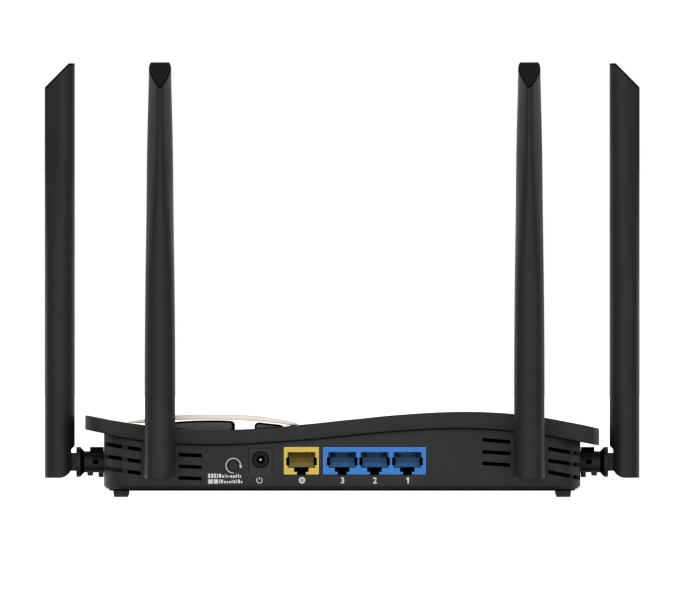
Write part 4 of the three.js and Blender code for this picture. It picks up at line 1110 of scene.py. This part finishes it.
def knuckle():
    def c(profile, r=0.15, n=56):
        return lathe("k", turned(profile, r), n, "x", (0, 0, AX_Z))

    # tail, groove, barrel, cone and flange, in one turned body
    o = c([(-5.6, 0), (-5.6, 4.4), (-5.4, 4.6), (-4.5, 4.6), (-4.5, 3.7), (-3.0, 3.7), (-3.0, 4.6), (8.9, 4.6), (10.6, 6.5), (12.35, 6.5), (12.35, 0)], 0.12)
    h = 3.9
    tongue = [(11.4, AX_Z - h), (FOLD_X, AX_Z - h)]
    tongue += [(FOLD_X + h * math.cos(-math.pi / 2 + math.pi * i / 18), AX_Z + h * math.sin(-math.pi / 2 + math.pi * i / 18)) for i in range(1, 18)]
    tongue += [(FOLD_X, AX_Z + h), (11.4, AX_Z + h)]
    t = prism("t", tongue, -2.5, 2.5)
    bevel(t, 0.25, 2, 50)
    boolean(o, t, "UNION")

    def rib(x0, x1, r, hy, z0, z1):
        a = lathe("r", turned([(x0, 0), (x0, r), (x1, r), (x1, 0)], 0.25), 56, "x", (0, 0, AX_Z))
        b = prism("rb", rounded([(-hy, z0), (hy, z0), (hy, z1), (-hy, z1)], 0.35, 3), x0 - 1, x1 + 1, "x")
        return boolean(a, b, "INTERSECT")

    for a in ((0.6, 6.45, 6.45, 5.2, AX_Z + 2.6, AX_Z + 8), (5.1, 7.6, 6.0, 3.6, AX_Z - 8, AX_Z - 3.6), (0.6, 2.8, 6.7, 4.4, AX_Z - 8, AX_Z - 3.4)):
        boolean(o, rib(*a), "UNION")
    # strain-relief windows, cut deep; their insides are painted near-black as shade where the knuckles are placed
    for s in (-1, 1):
        a, b = sorted((s * 1.6, s * 8.0))
        boolean(o, prism("c", rounded([(2.7, AX_Z - 0.9), (5.3, AX_Z - 0.9), (5.3, AX_Z + 1.05), (2.7, AX_Z + 1.05)], 0.12, 2), a, b))
        a, b = sorted((s * 3.9, s * 8.0))
        boolean(o, prism("c", rounded([(0.9, AX_Z - 3.2), (1.45, AX_Z - 3.2), (1.45, AX_Z + 1.0), (0.9, AX_Z + 1.0)], 0.12, 2), a, b))
    boolean(o, rod("c", -6, 6, 1.52, 32, "y", (FOLD_X, 0, AX_Z)))
    boolean(o, rod("c", -7, 14.0, 1.3, 24, "x", (0, 0, AX_Z)))
    boolean(o, block("c", 12.75, 14.5, -1.1, 1.1, AX_Z, AX_Z + 8))
    return o


def fold_pin():
    prof = [(-4.6, 0), (-4.6, 1.2), (-4.4, 1.4), (4.4, 1.4), (4.6, 1.2), (4.6, 0)]
    return lathe("pin_master", prof, 32, "y", (FOLD_X, 0, AX_Z))


def antennas():
    sleeve, kn, pin = antenna_sleeve(), knuckle(), fold_pin()
    places = {"side_left": (-102.0, SIDE_Y, math.pi), "side_right": (102.0, SIDE_Y, 0.0),
              "rear_left": (REAR_XL, BY0, -math.pi / 2), "rear_right": (REAR_XR, BY0, -math.pi / 2)}
    for name, (x, y, turn) in places.items():
        m = Matrix.Translation((x * MM, y * MM, 0)) @ Matrix.Rotation(turn, 4, "Z")
        for master, label_, mat, body, node, ang in (
                (sleeve, "antenna_sleeve_", "antenna", "antenna_", "antenna_", 34),
                (kn, "swivel_knuckle_", "knuckle", "swivel_", "knuckle_", 32),
                (pin, "hinge_pin_", "steel", "antenna_", "fold_pin_", 40)):
            o = copy_of(master, label_ + name)
            piece(o, mat, body + name, node + name, angle=ang)
            if mat == "antenna":
                # painted shade: near-black on the cut's rim and top flat, a near-black nose high on the side antennas,
                # dark grey on the rear ones' bottom rounding to damp its floor reflection, and dark grey on the slanted
                # cut face
                region(o, "painted_deep_shade", (lambda x, y, z, n: cut_rim(x, y, z, n, 1.0 if x > ANT_BACK + 2.4 else 0.5)) if name.startswith("side") else cut_rim)
                if name.startswith("side"):
                    region(o, "dark", lambda x, y, z, n: x > ANT_BACK + 12.5 and z > 140)
                else:
                    region(o, "shade", lambda x, y, z, n: z < ANT_BOTTOM + 0.5 and x > ANT_BACK + 6.0)
                region(o, "shade", lambda x, y, z, n: z > 170 and abs(y) < 4.6 and n.z > 0.69 and n.x > 0.69)
            if mat == "knuckle":
                # painted shade: near-black in the windows and on the back of the cone, near-black on the pad above the
                # barrel
                region(o, "painted_deep_shade", lambda x, y, z, n: 2.65 < x < 5.35 and abs(z - AX_Z) < 1.1 and 1.5 < abs(y) < 4.5)
                region(o, "dark", lambda x, y, z, n: 0.55 < x < 6.5 and z > AX_Z + 2.55)
                region(o, "painted_deep_shade", lambda x, y, z, n: 8.95 < x < 10.6 and n.x < -0.4)
            placed(o, m)
    for o in (sleeve, kn, pin):
        gone(o)


# =====================================================================
# printed marks: generic signs, numbers and plain bars where the small print stood
# =====================================================================
INK_Y0, INK_Y1 = BY0 - 0.035, BY0 - 0.004


def ink_poly(poly):
    return prism("ink", poly, INK_Y0, INK_Y1)


def ink_arc(cx, cz, r, w, a0, a1, n=48):
    out = [(cx + (r + w / 2) * math.cos(math.radians(a0 + (a1 - a0) * i / n)), cz + (r + w / 2) * math.sin(math.radians(a0 + (a1 - a0) * i / n))) for i in range(n + 1)]
    inn = [(cx + (r - w / 2) * math.cos(math.radians(a0 + (a1 - a0) * i / n)), cz + (r - w / 2) * math.sin(math.radians(a0 + (a1 - a0) * i / n))) for i in range(n + 1)]
    return ink_poly(out + list(reversed(inn)))


def ink_ring(cx, cz, r, w, n=48):
    verts, faces = [], []
    for i in range(n):
        a = 2 * math.pi * i / n
        for rr in (r + w / 2, r - w / 2):
            for y in (INK_Y0, INK_Y1):
                verts.append((cx + rr * math.cos(a), y, cz + rr * math.sin(a)))
    for i in range(n):
        a, b = 4 * i, 4 * ((i + 1) % n)
        faces += [(a, b, b + 1, a + 1), (a + 2, a + 3, b + 3, b + 2), (a, a + 2, b + 2, b), (a + 1, b + 1, b + 3, a + 3)]
    return build("ink", verts, faces)


def numeral(text, cx, cz, height):
    cu = bpy.data.curves.new("numeral", "FONT")
    cu.body = text
    cu.extrude = 0.5
    cu.offset = 0.019
    cu.resolution_u = 8
    o = bpy.data.objects.new("numeral", cu)
    bpy.context.scene.collection.objects.link(o)
    bpy.context.view_layer.update()
    dg = bpy.context.evaluated_depsgraph_get()
    me = bpy.data.meshes.new_from_object(o.evaluated_get(dg))
    bpy.data.objects.remove(o)
    xs = [v.co.x for v in me.vertices]
    ys = [v.co.y for v in me.vertices]
    k = height / (max(ys) - min(ys))
    mx, my = (max(xs) + min(xs)) / 2, (max(ys) + min(ys)) / 2
    for v in me.vertices:
        x, y, z = v.co
        v.co = ((cx + (x - mx) * k) * MM, (INK_Y0 if z > 0 else INK_Y1) * MM, (cz + (y - my) * k) * MM)
    bm = bmesh.new()
    bm.from_mesh(me)
    bmesh.ops.remove_doubles(bm, verts=bm.verts, dist=1e-7)
    bmesh.ops.recalc_face_normals(bm, faces=bm.faces)
    bm.to_mesh(me)
    bm.free()
    o = bpy.data.objects.new("numeral", me)
    bpy.context.scene.collection.objects.link(o)
    return o


def bars(x, z0, z1, widths, gap=0.26):
    """Plain blocks of different widths that stand for a line of small print."""
    parts = []
    for k, (w, lo, hi) in enumerate(widths):
        a, b = z0 + (z1 - z0) * lo, z0 + (z1 - z0) * hi
        parts.append(ink_poly(rounded([(x, a), (x + w, a), (x + w, b), (x, b)], 0.07, 2)))
        x += w + gap
    return parts


def marks():
    ring = [ink_arc(-46.68, 13.55, 3.14, 0.36, -88, -355)]
    ring.append(ink_poly([(-44.2, 13.62), (-42.93, 13.62), (-43.57, 12.3)]))
    piece(joined("mark_reset_arrow", ring), "ink", "case")
    power = [ink_arc(-35.48, 7.28, 1.2, 0.3, 122, 418)]
    power.append(ink_poly([(-35.62, 7.35), (-35.34, 7.35), (-35.34, 8.55), (-35.62, 8.55)]))
    piece(joined("mark_power", power), "ink", "case")
    globe = [ink_ring(-17.24, 7.29, 1.06, 0.62)]
    globe.append(ink_ring(-17.24, 7.29, 0.34, 0.2, 24))
    globe.append(ink_poly([(-18.2, 7.18), (-17.66, 7.18), (-17.66, 7.4), (-18.2, 7.4)]))
    globe.append(ink_poly([(-16.82, 7.18), (-16.28, 7.18), (-16.28, 7.4), (-16.82, 7.4)]))
    piece(joined("mark_internet", globe), "ink", "case")
    one = rounded([(27.98, 5.95), (28.62, 5.95), (28.62, 8.58), (28.12, 8.58), (27.42, 8.1), (27.42, 7.62), (27.98, 7.86)], 0.06, 2)
    nums = [numeral("3", 0.12, 7.25, 2.66), numeral("2", 14.02, 7.25, 2.66), ink_poly(one)]
    piece(joined("mark_port_numbers", nums), "ink", "case")
    full, mid_, low, tall = (0, 1), (0.1, 0.78), (0.1, 0.62), (0.1, 0.95)
    line1 = [(0.8, *full), (0.62, *full), (0.3, 0.0, 1.0), (0.95, *tall), (0.62, *low), (0.22, *tall), (0.5, *low), (0.22, *low), (0.66, *low), (0.66, 0.0, 0.62), (0.5, *mid_), (0.3, *tall), (0.5, *low)]
    line2 = [(1.66, *full), (1.5, *full), (0.3, 0.0, 1.0), (0.8, *tall), (0.6, *low), (0.5, *low), (0.6, *low), (0.3, *tall), (0.6, *mid_), (0.3, *tall), (0.7, *tall), (0.5, *low)]
    wide = lambda row: [(w * 1.2, a, b) for w, a, b in row]
    parts = bars(-57.5, 8.25, 10.15, wide([(0.8, *full)] + line1), 0.38)
    parts += bars(-57.5, 5.85, 7.7, wide(line2), 0.42)
    piece(joined("mark_plain_bars", parts), "ink", "case")


lower_case()
top_cover()
bridge_plate()
vent_panel("vent_panel_smoked_left", "vent_panel_left", PANEL_A, (-67, -52))
vent_panel("vent_panel_smoked_right", "vent_panel_right", PANEL_B, (-34.4, -29.2))
for (_x, _y), _n in zip([(x + (0.4 if x > 0 else -0.4) * (y > 0), y) for x, y in FEET], ("foot_front_left", "foot_front_right", "foot_rear_left", "foot_rear_right")):
    foot("pad_" + _n[5:], _n, _x, _y)
for _i, (_x, _y) in enumerate([(-84, -34), (84, -34), (-84, 56), (84, 56)]):
    screw("cover_screw_%d" % (_i + 1), "case_screw_%d" % (_i + 1), _x, _y)
label()
light_bar()
socket_block("wan_socket_shell", "wan_socket", -25.04, -9.99, "yellow", [(-17.45, [-4.6 + 1.02 * i for i in range(10)])], 18.0)
BLUE_SLOTS = [-4.9, -4.1, -3.3, 2.5, 3.32, 4.14, 4.96]
socket_block("lan_socket_shell", "lan_socket_block", -8.28, 35.98, "blue", [(0.03, BLUE_SLOTS), (13.88, BLUE_SLOTS), (27.97, BLUE_SLOTS)])
for _k, _cx in (("wan", -17.5), ("lan_3", 0.03), ("lan_2", 13.88), ("lan_1", 27.97)):
    contacts(_k + "_spring_contacts", _k + "_contacts", _cx)
power_inlet()
reset_button()
antennas()
marks()


# =====================================================================
# studio
# =====================================================================
scene = bpy.context.scene
scene.view_settings.view_transform = "Standard"
scene.view_settings.look = "None"

world = bpy.data.worlds.new("studio")
scene.world = world
world.use_nodes = True
wt = world.node_tree
wt.nodes.clear()
w_out = wt.nodes.new("ShaderNodeOutputWorld")
w_mix = wt.nodes.new("ShaderNodeMixShader")
w_sky = wt.nodes.new("ShaderNodeBackground")
w_cam = wt.nodes.new("ShaderNodeBackground")
w_path = wt.nodes.new("ShaderNodeLightPath")
w_cam.inputs["Color"].default_value = (1, 1, 1, 1)
w_cam.inputs["Strength"].default_value = 1.0
wt.links.new(w_path.outputs["Is Camera Ray"], w_mix.inputs[0])
wt.links.new(w_sky.outputs[0], w_mix.inputs[1])
wt.links.new(w_cam.outputs[0], w_mix.inputs[2])
wt.links.new(w_mix.outputs[0], w_out.inputs["Surface"])
w_co = wt.nodes.new("ShaderNodeTexCoord")
w_sep = wt.nodes.new("ShaderNodeSeparateXYZ")
wt.links.new(w_co.outputs["Generated"], w_sep.inputs[0])


def w_ramp(socket, stops):
    """Radiance against one component of the direction, from -1 to 1."""
    m = wt.nodes.new("ShaderNodeMapRange")
    m.inputs["From Min"].default_value = -1
    m.inputs["From Max"].default_value = 1
    wt.links.new(socket, m.inputs["Value"])
    r = wt.nodes.new("ShaderNodeValToRGB")
    r.color_ramp.interpolation = "EASE"
    e = r.color_ramp.elements
    while len(e) < len(stops):
        e.new(0.5)
    for i, (p, v) in enumerate(stops):
        e[i].position = (p + 1) / 2
        e[i].color = (v, v, v, 1)
    wt.links.new(m.outputs[0], r.inputs["Fac"])
    return r.outputs["Color"]


# soft panel behind the camera, dim sides, white backdrop; less light from straight up and from below
w_y = w_ramp(w_sep.outputs["Y"], [(-1.0, 1.0), (-0.72, 0.86), (-0.25, 0.28), (0.12, 0.25), (0.5, 0.8), (0.75, 1.0), (1.0, 1.0)])
w_z = w_ramp(w_sep.outputs["Z"], [(-1.0, 0.14), (-0.45, 0.55), (-0.1, 1.0), (0.45, 0.98), (0.72, 0.6), (1.0, 0.26)])
w_mul = wt.nodes.new("ShaderNodeMix")
w_mul.data_type = "RGBA"
w_mul.blend_type = "MULTIPLY"
w_mul.inputs[0].default_value = 1.0
wt.links.new(w_y, w_mul.inputs[6])
wt.links.new(w_z, w_mul.inputs[7])
wt.links.new(w_mul.outputs[2], w_sky.inputs["Color"])
w_sky.inputs["Strength"].default_value = 1.35


def floor_plane():
    n, r = 160, 12.0
    me = bpy.data.meshes.new("floor")
    me.from_pydata([(r * math.cos(2 * math.pi * i / n), r * math.sin(2 * math.pi * i / n), -0.0002) for i in range(n)], [], [list(range(n))])
    o = bpy.data.objects.new("floor", me)
    scene.collection.objects.link(o)
    g = Graph("floor_pale")
    n1 = g.noise(2.0, 2.0, 0.5)
    g.set(Base_Color=g.ramp(n1, [(0.3, (0.80, 0.80, 0.80)), (0.7, (0.83, 0.83, 0.83))]), Roughness=0.95, Specular_IOR_Level=0.0,
          Emission_Color=(1, 1, 1), Emission_Strength=1.05)
    me.materials.append(g.mat)
    o.visible_diffuse = False
    o.visible_glossy = False
    o.visible_transmission = False
    o.visible_shadow = False
    return o


floor_plane()

cam = bpy.data.cameras.new("camera")
cam.sensor_width = 36.0
cam.lens = 1400.0
cam.clip_start = 0.05
cam.clip_end = 60.0
camera = bpy.data.objects.new("camera", cam)
scene.collection.objects.link(camera)
# 687 px across 294.6 mm at the rear wall
camera.location = (0.00056, -0.06125 - 1400.0 / 36.0 * 0.2946, 0.0846)
camera.rotation_euler = (math.pi / 2, 0, 0)
scene.camera = camera

bpy.context.view_layer.update()
